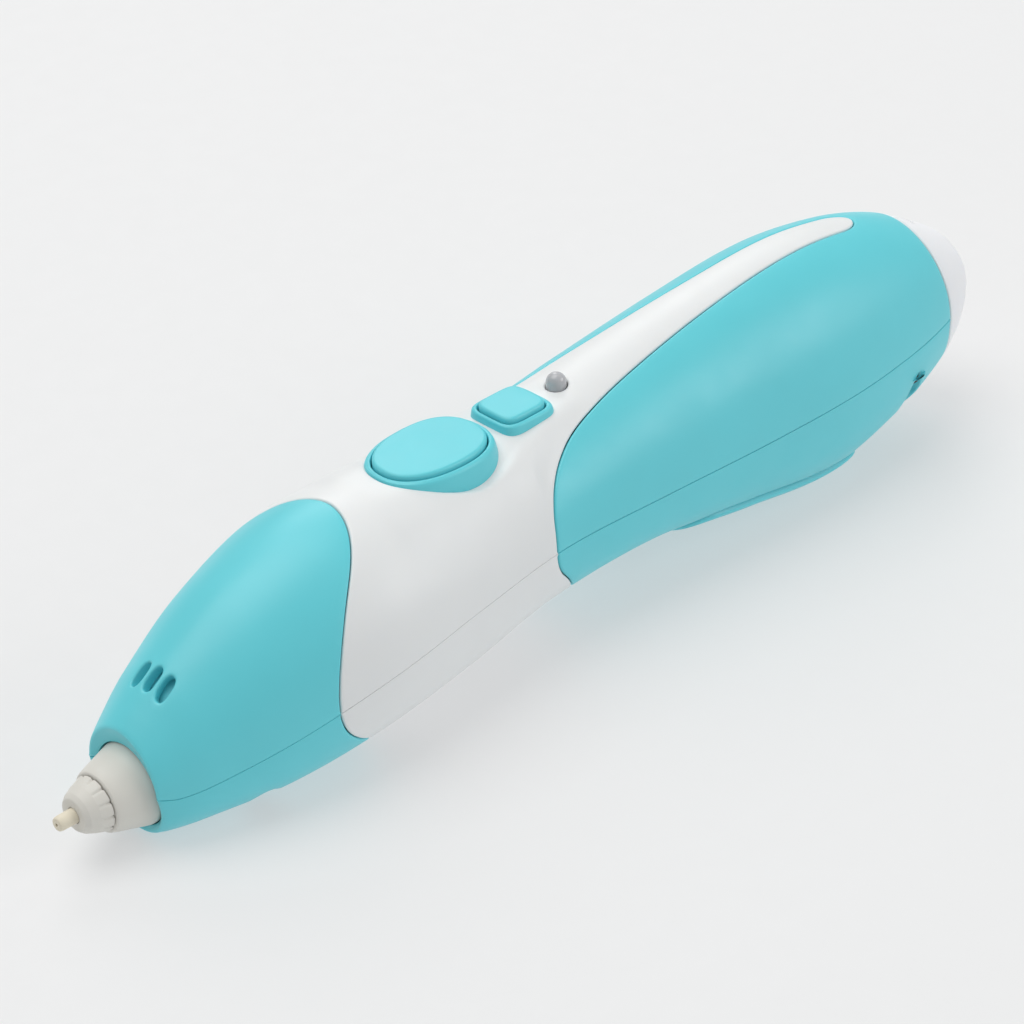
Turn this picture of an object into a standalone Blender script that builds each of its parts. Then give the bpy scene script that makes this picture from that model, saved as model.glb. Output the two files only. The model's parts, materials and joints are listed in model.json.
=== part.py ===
"""A hand-held 3-D drawing pen: a two-tone moulded case, a heated nozzle, two push buttons,
and a motor that feeds plastic filament through a bevel drive and a sprung idler.

Lengths are in millimetres. Along the pen, x runs from the nozzle's tip (0) to the tail, y is
across and z is up from the table. The finished part is centred on x and y and stands on z = 0.
"""
import math

import bmesh
import bpy
from mathutils import Matrix, Vector

MM = 0.001
LENGTH = 177.0
GAP = 0.3

# The case: (x, half width, top, parting line, bottom) at each place where its shape turns.
STATIONS = (
    (11.0, 7.1, 16.5, 9.2, 0.8),
    (14.0, 8.9, 19.1, 8.9, 0.1),
    (19.0, 11.1, 23.0, 9.9, -0.2),
    (31.0, 14.7, 29.8, 12.8, -0.2),
    (47.0, 17.2, 34.3, 16.6, 1.8),
    (63.0, 15.9, 33.4, 18.0, 2.8),
    (81.0, 14.1, 32.8, 18.6, 5.3),
    (101.0, 14.7, 35.4, 18.4, 6.3),
    (121.0, 15.6, 37.5, 18.2, 2.9),
    (139.0, 16.1, 38.4, 18.5, 0.3),
    (153.0, 15.0, 36.5, 18.9, 2.9),
    (163.0, 13.1, 33.4, 19.3, 6.4),
    (170.0, 10.4, 29.6, 19.6, 9.6),
    (175.0, 6.9, 26.2, 20.0, 14.6),
    (177.0, 3.2, 22.8, 20.2, 17.8),
)
TOP_ROUNDNESS = 1.9
BELLY_ROUNDNESS = 2.5
NOSE_ROUNDNESS = 2.05
WALL = 1.5
CASE_FRONT = 11.2
CASE_BACK = 165.0
RING_POINTS = 24

# Colour breaks, as side-view curves (x, z): nose to middle above and below the parting line,
# and middle to rear below it. The white spine is an outline seen from above (x, half width).
NOSE_BREAK_TOP = ((36.6, 14.0), (36.8, 17.0), (37.8, 20.5), (39.8, 24.5), (42.4, 28.0),
                  (45.8, 31.2), (50.5, 34.8), (54.0, 37.0))
NOSE_BREAK_BOTTOM = ((36.6, 17.0), (36.7, 13.5), (37.8, 10.5), (40.0, 8.0), (44.0, 5.0), (52.0, -1.0))
REAR_BREAK_BOTTOM = ((79.1, 20.0), (79.3, 17.0), (80.3, 14.6), (82.4, 12.0), (86.0, 7.0), (90.5, -1.0))
SPINE = ((79.1, 20.0), (79.1, 14.2), (79.9, 12.8), (81.8, 11.0), (84.6, 9.2), (88.6, 7.5),
         (93.5, 6.4), (101.0, 5.4), (112.0, 4.4), (126.0, 3.5), (140.0, 3.0), (150.5, 2.6))
SPINE_END = 155.5

# Nozzle
NOZZLE_Z = 7.7
BARREL_R = 2.9
CARRIER_X = 33.0
VENT_X = 17.8
VENT_HALF = (1.5, 0.82)
VENT_PITCH = 2.5
MOUTH_R = 6.5

# Button deck
DECK_LOW = 30.1
DECK_HIGH = 33.6
DECK_FRONT = 55.0
DECK_BACK = 101.5
BAY_X = 77.3
BAY_HALF = (22.3, 9.4)
BAY_FLOOR = 31.9
BAY_SLOPE = 0.03
FEED_X = 68.4
FEED_HALF = (8.7, 6.15)
FEED_OUTLINE = {"roundness": 2.3, "narrowing": -0.06}
POWER_X = 84.3
POWER_HALF = (3.95, 3.65)
POWER_OUTLINE = {"roundness": 4.5}
BUTTON_TOP = 35.35
BEZEL_DROP = 0.8
LED_X = 93.1
LED_R = 1.5
LED_TOP = 36.1
BOARD_LOW = 23.0
BOARD_TOP = 24.0
SWITCH_TOP = 27.3
BOARD_SCREWS = (("board_screw_front", 55.8, 0.0), ("board_screw_rear", 92.4, -4.6))

# Filament drive
PATH_Z = 16.5
DRIVE_X = 106.0
NIP = 1.5
DRIVE_R = 6.25
IDLER_R = 3.5
AXLE_Z = PATH_Z + NIP / 2 + DRIVE_R
IDLER_Z = PATH_Z - NIP / 2 - IDLER_R
MOTOR_Y = 5.5
MOTOR_R = 5.0
AXLE_R = 1.0
SHAFT_R = 0.75
WHEEL_TEETH = 18
PINION_TEETH = 12
BEVEL_MODULE = 0.45
CONE_FACE = 1.8
BEVEL_WHEEL_HUB = (3.2, 0.5)
PINION_HUB = (2.0, 2.0)
CHEEK_LEFT = (-4.6, -2.6)
CHEEK_RIGHT = (8.8, 10.4)
FRAME_FRONT = 95.5
FRAME_BACK = 115.5
FRAME_FOOT = (12.7, 14.2)
PIVOT_X = 98.5
LEVER_Y = (-6.6, -5.0)
SPRING_X = 113.4
SPRING_Y = -6.5
TAIL_PATH_Z = 18.5

# Battery cover and charging socket
COVER_OUTLINE = {"centre_x": 127.5, "half_length": 20.5, "half_width": 12.6, "roundness": 5.0}
COVER_EDGE_Z = 12.5
COVER_PROUD = 0.7
SOCKET_Z = (21.9, 25.1)
CHARGE_BOARD_Z = (20.6, 21.6)

# Fasteners: (x, half spacing) of each pair that clamps the case from below, and the heights of
# their heads and tips.
SCREW_PAIRS = {"nose": (27.5, 9.0), "middle": (50.0, 11.5), "rear": (155.4, 12.0)}
HEAD_SEATS = {"nose": 5.2, "middle": 8.0, "rear": 13.6}
SCREW_TIPS = {"nose": 18.0, "middle": 25.0, "rear": 24.6}
SIDES = {"left": -1, "right": 1}
FRAME_SCREWS = (93.5, 6.5)
SCREW_HEAD_R = 1.8
COUNTERBORE_R = 2.2

# Limits well outside the pen, for the shapes that cut it
ABOVE = 60.0
BELOW = -20.0
AHEAD = 5.0
BEHIND = 180.0
WIDE = 30.0

COLOURS = {
    "teal_shell": ((0.19, 0.60, 0.66), 0.42, 0.0),
    "white_shell": ((0.84, 0.85, 0.85), 0.40, 0.0),
    "tail_shell": ((0.86, 0.87, 0.90), 0.35, 0.0),
    "nozzle_plastic": ((0.62, 0.60, 0.55), 0.55, 0.0),
    "tip_ceramic": ((0.76, 0.70, 0.56), 0.50, 0.0),
    "heater_ceramic": ((0.85, 0.83, 0.78), 0.50, 0.0),
    "black_plastic": ((0.03, 0.03, 0.035), 0.50, 0.0),
    "frame_plastic": ((0.12, 0.12, 0.13), 0.55, 0.0),
    "tube_plastic": ((0.80, 0.82, 0.82), 0.35, 0.0),
    "led_plastic": ((0.50, 0.51, 0.52), 0.20, 0.0),
    "board": ((0.02, 0.20, 0.09), 0.50, 0.0),
    "brass": ((0.72, 0.52, 0.20), 0.30, 1.0),
    "steel": ((0.55, 0.56, 0.58), 0.30, 1.0),
    "cell_wrap": ((0.10, 0.25, 0.55), 0.40, 0.0),
}


# ---- scene helpers ---------------------------------------------------------------------------

def clear_scene():
    for obj in list(bpy.data.objects):
        bpy.data.objects.remove(obj, do_unlink=True)


def make_collection(name):
    collection = bpy.data.collections.new(name)
    bpy.context.scene.collection.children.link(collection)
    return collection


clear_scene()
PARTS = make_collection("three_d_pen")
CUTTERS = make_collection("cutters")


def make_materials():
    made = {}
    for name, (colour, roughness, metallic) in COLOURS.items():
        material = bpy.data.materials.new(name)
        material.use_nodes = True
        shader = material.node_tree.nodes["Principled BSDF"]
        shader.inputs["Base Color"].default_value = (*colour, 1.0)
        shader.inputs["Roughness"].default_value = roughness
        shader.inputs["Metallic"].default_value = metallic
        made[name] = material
    return made


MATERIALS = make_materials()


def pen_point(x, y, z):
    """A point of the pen, in metres in the finished part's frame."""
    return Vector(((x - LENGTH / 2) * MM, y * MM, z * MM))


def add_object(name, mesh, location=Vector((0, 0, 0))):
    """A new object: a cutter until finish() makes it a part."""
    obj = bpy.data.objects.new(name, mesh)
    CUTTERS.objects.link(obj)
    obj.location = location
    obj.hide_render = True
    obj.display_type = "WIRE"
    return obj


def finish(obj, material, smooth=35):
    """Turn an object into a sub-part with its own copy of a material."""
    CUTTERS.objects.unlink(obj)
    PARTS.objects.link(obj)
    obj.hide_render = False
    obj.display_type = "TEXTURED"
    own = MATERIALS[material].copy()
    own.name = obj.name + "_material"
    obj.data.materials.clear()
    obj.data.materials.append(own)
    obj.data.shade_smooth()
    obj.data.set_sharp_from_angle(angle=math.radians(smooth))
    return obj


def hang(empty_name, point, *objects):
    """Parent objects, with the cutters they use, to an empty on their joint's axis."""
    empty = bpy.data.objects.new(empty_name, None)
    PARTS.objects.link(empty)
    empty.location = pen_point(*point)
    bpy.context.view_layer.update()
    for obj in objects:
        tools = [m.object for m in obj.modifiers if m.type == "BOOLEAN"]
        for child in [obj] + tools:
            child.parent = empty
            child.matrix_parent_inverse = empty.matrix_world.inverted()


def combine(obj, other, operation):
    modifier = obj.modifiers.new(operation.lower() + "_" + other.name, "BOOLEAN")
    modifier.operation = operation
    modifier.solver = "EXACT"
    modifier.object = other
    return obj


def cut(obj, *cutters):
    for cutter in cutters:
        combine(obj, cutter, "DIFFERENCE")
    return obj


def join(obj, *others):
    for other in others:
        combine(obj, other, "UNION")
    return obj


def keep_inside(obj, other):
    return combine(obj, other, "INTERSECT")


# ---- shape helpers ---------------------------------------------------------------------------

def box(name, low, high):
    low_point = pen_point(*low)
    high_point = pen_point(*high)
    size = high_point - low_point
    mesh = bpy.data.meshes.new(name)
    bm = bmesh.new()
    bmesh.ops.create_cube(bm, size=1.0, matrix=Matrix.Diagonal((*size, 1.0)))
    bm.to_mesh(mesh)
    bm.free()
    return add_object(name, mesh, (low_point + high_point) / 2)


def aim(obj, direction):
    obj.rotation_mode = "QUATERNION"
    obj.rotation_quaternion = Vector((0, 0, 1)).rotation_difference(Vector(direction))
    return obj


def rod(name, start, end, radius, *, segments=14):
    """A round bar between two points."""
    start_point = pen_point(*start)
    end_point = pen_point(*end)
    mesh = bpy.data.meshes.new(name)
    bm = bmesh.new()
    bmesh.ops.create_cone(bm, cap_ends=True, segments=segments, radius1=radius * MM,
                          radius2=radius * MM, depth=(end_point - start_point).length)
    bm.to_mesh(mesh)
    bm.free()
    obj = add_object(name, mesh, (start_point + end_point) / 2)
    return aim(obj, end_point - start_point)


def turned(name, origin, direction, profile, segments=16):
    """A turned piece. The profile holds (distance along the axis, radius): a closed loop round a
    bored wall, or an open line that starts and ends on the axis."""
    points = list(profile)
    turn = sum(a[1] * b[0] - b[1] * a[0] for a, b in zip(points, points[1:] + points[:1]))
    if turn > 0:
        points.reverse()
    closed = min(radius for _, radius in points) > 0
    mesh = bpy.data.meshes.new(name)
    count = len(points)
    edges = [(i, i + 1) for i in range(count - 1)]
    if closed:
        edges.append((count - 1, 0))
    mesh.from_pydata([(radius * MM, 0, along * MM) for along, radius in points], edges, [])
    obj = add_object(name, mesh, pen_point(*origin))
    screw = obj.modifiers.new("turn", "SCREW")
    screw.axis = "Z"
    screw.angle = math.tau
    screw.steps = segments
    screw.render_steps = segments
    screw.use_merge_vertices = True
    screw.merge_threshold = 0.00001
    screw.use_smooth_shade = True
    return aim(obj, direction)


def loft(name, rings, inner_rings=None):
    """Skin a row of equal-length rings. With inner rings, the wall between the two skins."""
    bm = bmesh.new()

    def skin(loops, flip):
        rows = [[bm.verts.new(point) for point in loop] for loop in loops]
        for row, following in zip(rows, rows[1:]):
            for i in range(len(row)):
                j = (i + 1) % len(row)
                corners = (row[i], row[j], following[j], following[i])
                bm.faces.new(corners[::-1] if flip else corners)
        return rows

    outer = skin(rings, False)
    if inner_rings is None:
        bm.faces.new(outer[0][::-1])
        bm.faces.new(outer[-1])
    else:
        inner = skin(inner_rings, True)
        for outside, inside, flip in ((outer[0], inner[0], True), (outer[-1], inner[-1], False)):
            for i in range(len(outside)):
                j = (i + 1) % len(outside)
                corners = (outside[i], outside[j], inside[j], inside[i])
                bm.faces.new(corners[::-1] if flip else corners)
    bmesh.ops.recalc_face_normals(bm, faces=bm.faces)
    mesh = bpy.data.meshes.new(name)
    bm.to_mesh(mesh)
    bm.free()
    return add_object(name, mesh)


def mesh_from_curve(name, curve_data, location, rotation=None):
    """A curve's solid as a mesh, with its caps welded on."""
    source = bpy.data.objects.new(name + "_curve", curve_data)
    CUTTERS.objects.link(source)
    source.location = location
    if rotation:
        source.rotation_euler = rotation
    bpy.context.view_layer.update()
    depsgraph = bpy.context.evaluated_depsgraph_get()
    mesh = bpy.data.meshes.new_from_object(source.evaluated_get(depsgraph))
    bm = bmesh.new()
    bm.from_mesh(mesh)
    bmesh.ops.remove_doubles(bm, verts=bm.verts, dist=0.000005)
    bmesh.ops.recalc_face_normals(bm, faces=bm.faces)
    bm.to_mesh(mesh)
    bm.free()
    obj = add_object(name, mesh)
    obj.matrix_world = source.matrix_world
    bpy.data.objects.remove(source, do_unlink=True)
    return obj


def prism(name, outline, low, high, plane="XY"):
    """A flat outline given thickness: seen from above (x, y) or from the side (x, z)."""
    curve = bpy.data.curves.new(name, "CURVE")
    curve.dimensions = "2D"
    curve.fill_mode = "BOTH"
    curve.extrude = (high - low) / 2 * MM
    spline = curve.splines.new("POLY")
    spline.points.add(len(outline) - 1)
    for point, (u, v) in zip(spline.points, outline):
        point.co = ((u - LENGTH / 2) * MM, v * MM, 0, 1)
    spline.use_cyclic_u = True
    middle = (low + high) / 2 * MM
    if plane == "XY":
        return mesh_from_curve(name, curve, Vector((0, 0, middle)))
    return mesh_from_curve(name, curve, Vector((0, middle, 0)), (math.pi / 2, 0, 0))


def bent_rod(name, points, radius, sides=3):
    """A round bar that follows a line of points."""
    curve = bpy.data.curves.new(name, "CURVE")
    curve.dimensions = "3D"
    curve.bevel_depth = radius * MM
    curve.bevel_resolution = sides - 1
    curve.use_fill_caps = True
    spline = curve.splines.new("POLY")
    spline.points.add(len(points) - 1)
    for point, place in zip(spline.points, points):
        point.co = (*pen_point(*place), 1)
    return mesh_from_curve(name, curve, Vector((0, 0, 0)))


def oval(centre_x, half_length, half_width, roundness=2.0, narrowing=0.0, count=28, centre_y=0.0):
    """A superellipse seen from above, narrower towards the tail when narrowing is above 0."""
    outline = []
    for i in range(count):
        angle = math.tau * (i + 0.5) / count
        c, s = math.cos(angle), math.sin(angle)
        u = math.copysign(abs(c) ** (2 / roundness), c)
        v = math.copysign(abs(s) ** (2 / roundness), s)
        outline.append((centre_x + half_length * u, centre_y + half_width * v * (1 - narrowing * u)))
    return outline


def level(outline, z):
    return [pen_point(x, y, z) for x, y in outline]


# ---- case surface ----------------------------------------------------------------------------

def curve_through(knots, x):
    """A smooth curve through (x, value) knots."""
    if x <= knots[0][0]:
        return knots[0][1]
    if x >= knots[-1][0]:
        return knots[-1][1]

    def slope(i):
        low = max(i - 1, 0)
        high = min(i + 1, len(knots) - 1)
        return (knots[high][1] - knots[low][1]) / (knots[high][0] - knots[low][0])

    i = max(k for k in range(len(knots) - 1) if knots[k][0] <= x)
    span = knots[i + 1][0] - knots[i][0]
    t = (x - knots[i][0]) / span
    rise_in = slope(i) * span
    rise_out = slope(i + 1) * span
    start, end = knots[i][1], knots[i + 1][1]
    return (start * (2 * t ** 3 - 3 * t ** 2 + 1) + rise_in * (t ** 3 - 2 * t ** 2 + t)
            + end * (3 * t ** 2 - 2 * t ** 3) + rise_out * (t ** 3 - t ** 2))


def case_value(column, x):
    return curve_through([(station[0], station[column]) for station in STATIONS], x)


def half_width(x):
    return case_value(1, x)


def top(x):
    return case_value(2, x)


def parting(x):
    return case_value(3, x)


def bottom(x):
    return case_value(4, x)


def smooth_step(t):
    t = min(max(t, 0), 1)
    return t * t * (3 - 2 * t)


def belly_roundness(x):
    """The lower half's section is rounder under the nose."""
    return NOSE_ROUNDNESS + (BELLY_ROUNDNESS - NOSE_ROUNDNESS) * smooth_step((x - 14) / 32)


def section(x, inset=0.0, belly_extra=0.0):
    """The case's ring at x, moved inwards by inset; belly_extra swells its lower half."""
    ring = []
    middle = parting(x)
    for i in range(RING_POINTS):
        angle = math.tau * i / RING_POINTS
        c, s = math.cos(angle), math.sin(angle)
        roundness = TOP_ROUNDNESS if s >= 0 else belly_roundness(x)
        width = half_width(x) - inset + belly_extra
        height = top(x) - middle - inset if s >= 0 else middle - bottom(x) - inset + belly_extra
        y = width * math.copysign(abs(c) ** (2 / roundness), c)
        z = middle + height * math.copysign(abs(s) ** (2 / roundness), s)
        ring.append(pen_point(x, y, z if belly_extra else max(z, inset)))
    return ring


def spread(start, end, count):
    return [start + (end - start) * i / (count - 1) for i in range(count)]


CASE_XS = spread(CASE_FRONT, 31.0, 5) + spread(37.0, CASE_BACK, 18)
TAIL_XS = [CASE_BACK + GAP, 168.0, 170.5, 172.6, 174.4, 175.8, 176.6, LENGTH]


def case_wall(name):
    return loft(name, [section(x) for x in CASE_XS], [section(x, WALL) for x in CASE_XS])


def case_core(name, depth):
    """The case filled in, up to a depth under its surface: what stands inside is trimmed to it."""
    return loft(name, [section(x, depth) for x in spread(CASE_FRONT + 1, CASE_BACK - 1, 30)])


BOSS_CORE = case_core("boss_core", WALL * 0.6)
DECK_CORE = case_core("deck_core", WALL * 0.4)


def parting_line(offset, start, end):
    return [(x, parting(x) + offset) for x in spread(start, end, 24)]


def shifted(curve, dx):
    return [(u + dx, v) for u, v in curve]


def off_parting(curve, x, side):
    """The part of a break curve on one side of the parting line at x."""
    if side > 0:
        return [point for point in curve if point[1] > parting(x) + GAP]
    return [point for point in curve if point[1] < parting(x) - GAP]


def side_region(front_curve, back_curve, side):
    """A side-view outline between two break curves (None: open), above or below the parting."""
    start = front_curve[0][0] if front_curve else AHEAD
    end = back_curve[0][0] if back_curve else BEHIND
    line = parting_line(side * GAP / 2, start, end)
    far = ABOVE if side > 0 else BELOW
    back = off_parting(back_curve, end, side) if back_curve else []
    front = off_parting(front_curve, start, side) if front_curve else []
    back_far = (back[-1][0] if back else BEHIND, far)
    front_far = (front[-1][0] if front else AHEAD, far)
    return line + back + [back_far, front_far] + front[::-1]


def spine_outline(grow):
    """The white spine from above, with the full width ahead of it."""
    flank = [(x, y + grow) for x, y in SPINE]
    flank[1] = (flank[1][0] + grow, flank[1][1])
    flank[0] = (flank[1][0], WIDE)
    radius = flank[-1][1]
    nose_length = SPINE_END - SPINE[-1][0] + grow
    round_end = [(SPINE[-1][0] + nose_length * math.sin(a), radius * math.cos(a))
                 for a in spread(math.pi / 12, math.pi * 11 / 12, 9)]
    mirrored = [(x, -y) for x, y in flank[::-1]]
    return [(AHEAD, WIDE)] + flank + round_end + mirrored + [(AHEAD, -WIDE)]


# ---- case pieces -----------------------------------------------------------------------------

def screw_boss_cutters(label, x, y, head_seat, tip):
    """The counterbore from below and the shank's hole of one case screw."""
    well = rod(label + "_well", (x, y, -5), (x, y, head_seat + GAP), COUNTERBORE_R)
    hole = rod(label + "_hole", (x, y, head_seat), (x, y, tip + GAP), 1.3)
    return well, hole


def boss(label, x, y, low, high, radius=2.7):
    column = rod(label, (x, y, low), (x, y, high), radius)
    return keep_inside(column, BOSS_CORE)


def with_bosses(shell, pair, upper):
    x, spacing = SCREW_PAIRS[pair]
    half = "upper" if upper else "lower"
    for side, sign in SIDES.items():
        label = f"{pair}_{half}_{side}"
        y = sign * spacing
        low = parting(x) + GAP / 2 if upper else bottom(x)
        high = SCREW_TIPS[pair] + 1.4 if upper else parting(x) - GAP / 2
        join(shell, boss(label + "_boss", x, y, low, high))
        well, hole = screw_boss_cutters(label, x, y, HEAD_SEATS[pair], SCREW_TIPS[pair])
        cut(shell, hole)
        if not upper:
            cut(shell, well)
    return shell


def make_nose_covers():
    upper = case_wall("nose_cover_upper")
    keep_inside(upper, prism("nose_upper_region", side_region(
        None, shifted(NOSE_BREAK_TOP, -GAP / 2), 1), -WIDE, WIDE, "XZ"))
    for i in range(3):
        slot = oval(VENT_X, *VENT_HALF, 2.6, count=16, centre_y=(i - 1) * VENT_PITCH)
        cut(upper, prism(f"vent_slot_{i}", slot, NOZZLE_Z + 6, ABOVE))
    mouth = rod("mouth", (AHEAD, 0, NOZZLE_Z), (16.3, 0, NOZZLE_Z), MOUTH_R, segments=32)
    cut(upper, mouth)
    with_bosses(upper, "nose", True)
    finish(upper, "teal_shell")

    lower = case_wall("nose_cover_lower")
    keep_inside(lower, prism("nose_lower_region", side_region(
        None, shifted(NOSE_BREAK_BOTTOM, -GAP / 2), -1), -WIDE, WIDE, "XZ"))
    cut(lower, mouth)
    with_bosses(lower, "nose", False)
    finish(lower, "teal_shell")


def bay_floor(x):
    """The height of the sunk deck round the buttons, which rises towards the tail."""
    return BAY_FLOOR + BAY_SLOPE * (x - DECK_FRONT)


def make_upper_housing():
    housing = case_wall("upper_housing")
    deck = box("deck", (DECK_FRONT, -9.5, DECK_LOW), (DECK_BACK, 9.5, DECK_HIGH))
    join(housing, keep_inside(deck, DECK_CORE))
    keep_inside(housing, prism("housing_region", side_region(
        shifted(NOSE_BREAK_TOP, GAP / 2), None, 1), -WIDE, WIDE, "XZ"))
    keep_inside(housing, prism("spine_region", spine_outline(-GAP / 2), 0, ABOVE))
    bay = oval(BAY_X, *BAY_HALF, 2.4, 0.42)
    cut(housing, loft("deck_bay", [[pen_point(x, y, bay_floor(x)) for x, y in bay],
                                   level(bay, ABOVE)]))
    cut(housing, prism("feed_opening", oval(FEED_X, 9.65, 7.1, **FEED_OUTLINE), 25, ABOVE))
    cut(housing, prism("power_opening", oval(POWER_X, 4.85, 4.5, **POWER_OUTLINE), 25, ABOVE))
    cut(housing, rod("led_opening", (LED_X, 0, 25), (LED_X, 0, 45), LED_R + GAP))
    for label, x, y in BOARD_SCREWS:
        join(housing, boss(label + "_boss", x, y, BOARD_TOP + GAP, 36.0, 1.9))
        cut(housing, rod(label + "_hole", (x, y, 20), (x, y, 29.6), 1.1))
    with_bosses(housing, "middle", True)
    finish(housing, "white_shell")


def make_lower_housing():
    housing = case_wall("lower_housing")
    keep_inside(housing, prism("chin_region", side_region(
        shifted(NOSE_BREAK_BOTTOM, GAP / 2), shifted(REAR_BREAK_BOTTOM, -GAP / 2), -1),
        -WIDE, WIDE, "XZ"))
    with_bosses(housing, "middle", False)
    finish(housing, "white_shell")


def make_rear_covers():
    upper = case_wall("rear_cover_upper")
    keep_inside(upper, prism("rear_upper_region", side_region(
        [(75.0, 25.0)], None, 1), -WIDE, WIDE, "XZ"))
    cut(upper, prism("spine_slot", spine_outline(GAP / 2), 0, ABOVE))
    with_bosses(upper, "rear", True)
    finish(upper, "teal_shell")

    lower = case_wall("rear_cover_lower")
    keep_inside(lower, prism("rear_lower_region", side_region(
        shifted(REAR_BREAK_BOTTOM, GAP / 2), None, -1), -WIDE, WIDE, "XZ"))
    opening = dict(COVER_OUTLINE)
    opening["half_length"] += GAP
    opening["half_width"] += GAP
    cut(lower, prism("battery_opening", oval(**opening), BELOW, COVER_EDGE_Z))
    for side, sign in SIDES.items():
        x, spacing = FRAME_SCREWS
        label = "frame_post_" + side
        join(lower, boss(label, x, sign * spacing, bottom(x), FRAME_FOOT[0] - GAP, 2.2))
        cut(lower, rod(label + "_hole", (x, sign * spacing, 8.6), (x, sign * spacing, 16), 1.1))
    with_bosses(lower, "rear", False)
    finish(lower, "teal_shell")

    xs = spread(104.0, 154.0, 14)
    cover = loft("battery_cover", [section(x, belly_extra=COVER_PROUD) for x in xs],
                 [section(x, WALL) for x in xs])
    cut(cover, box("table_plane", (100, -WIDE, BELOW), (160, WIDE, 0)))
    keep_inside(cover, prism("cover_region", oval(**COVER_OUTLINE), BELOW, COVER_EDGE_Z - GAP))
    finish(cover, "teal_shell")


def make_tail_cap():
    cap_rings = [section(x) for x in TAIL_XS]
    inner_rings = [section(x, WALL) for x in TAIL_XS[:-3]]
    cap = loft("tail_cap", cap_rings)
    cut(cap, loft("tail_hollow", [section(TAIL_XS[0] - 2, WALL)] + inner_rings))
    cut(cap, rod("inlet_bore", (165, 0, TAIL_PATH_Z), (180, 0, TAIL_PATH_Z), 1.9))
    cut(cap, box("socket_opening", (168, -4.8, SOCKET_Z[0] - GAP), (180, 4.8, SOCKET_Z[1] + GAP)))
    finish(cap, "tail_shell")


# ---- nozzle ----------------------------------------------------------------------------------

def make_nozzle():
    axis_start = (0, 0, NOZZLE_Z)
    forward = (1, 0, 0)
    tip = turned("nozzle_tip", axis_start, forward,
                 [(0, 0.45), (0, 0.9), (0.3, 1.05), (2.6, 1.05), (2.9, 1.5), (9.0, 1.5),
                  (9.0, 0.9), (2.0, 0.9), (1.4, 0.45)])
    finish(tip, "tip_ceramic")

    flutes = 10

    def guard_ring(x, radius, depth):
        ring = []
        for i in range(flutes * 4):
            angle = math.tau * i / (flutes * 4)
            r = radius - depth * (0.5 - 0.5 * math.cos(flutes * angle))
            ring.append(pen_point(x, r * math.cos(angle), NOZZLE_Z + r * math.sin(angle)))
        return ring

    guard = loft("nozzle_guard",
                 [guard_ring(2.8, 2.3, 0), guard_ring(3.0, 2.8, 0), guard_ring(4.2, 3.2, 0),
                  guard_ring(5.0, 3.6, 0.5), guard_ring(6.5, 4.2, 0.7)],
                 [guard_ring(x, 1.9, 0) for x in (2.8, 6.5)])
    finish(guard, "nozzle_plastic")

    collar = turned("nozzle_collar", axis_start, forward,
                    [(6.8, 4.0), (6.9, 4.4), (7.5, 4.6), (9.6, 5.3), (12.2, 6.1), (12.8, 6.2),
                     (16.0, 5.8), (16.0, BARREL_R + GAP), (6.8, BARREL_R + GAP)])
    finish(collar, "nozzle_plastic")

    barrel = turned("heater_barrel", axis_start, forward,
                    [(9.3, 1.1), (9.3, BARREL_R), (30.8, BARREL_R), (30.8, 1.1)])
    finish(barrel, "brass")

    sleeve = turned("heater_sleeve", axis_start, forward,
                    [(17.5, BARREL_R + GAP), (17.5, 4.6), (28.0, 4.6), (28.0, BARREL_R + GAP)])
    finish(sleeve, "heater_ceramic")

    bead = turned("thermistor", (22.5, 0, NOZZLE_Z + 5.9), (0, 0, 1),
                  [(1.0, 0), (0.7, 0.7), (0, 1.0), (-0.7, 0.7), (-1.0, 0)], 12)
    finish(bead, "led_plastic")

    heat_break = turned("heat_break", axis_start, forward,
                        [(31.2, 1.1), (31.2, 3.6), (CARRIER_X - GAP, 3.6), (CARRIER_X - GAP, 2.4),
                         (CARRIER_X + 2 + GAP, 2.4), (CARRIER_X + 2 + GAP, 3.6), (36.6, 3.6),
                         (36.6, 1.1)])
    finish(heat_break, "black_plastic")

    xs = (CARRIER_X, CARRIER_X + 2)
    carrier = loft("nozzle_carrier", [section(x, WALL + GAP) for x in xs])
    cut(carrier, rod("carrier_bore", (30, 0, NOZZLE_Z), (40, 0, NOZZLE_Z), 2.7))
    cut(carrier, box("carrier_slot", (30, -2.7, NOZZLE_Z), (40, 2.7, 20)))
    cut(carrier, box("carrier_window", (30, -9, 17), (40, 9, 40)))
    finish(carrier, "frame_plastic")


# ---- buttons, lamp and board -----------------------------------------------------------------

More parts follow.
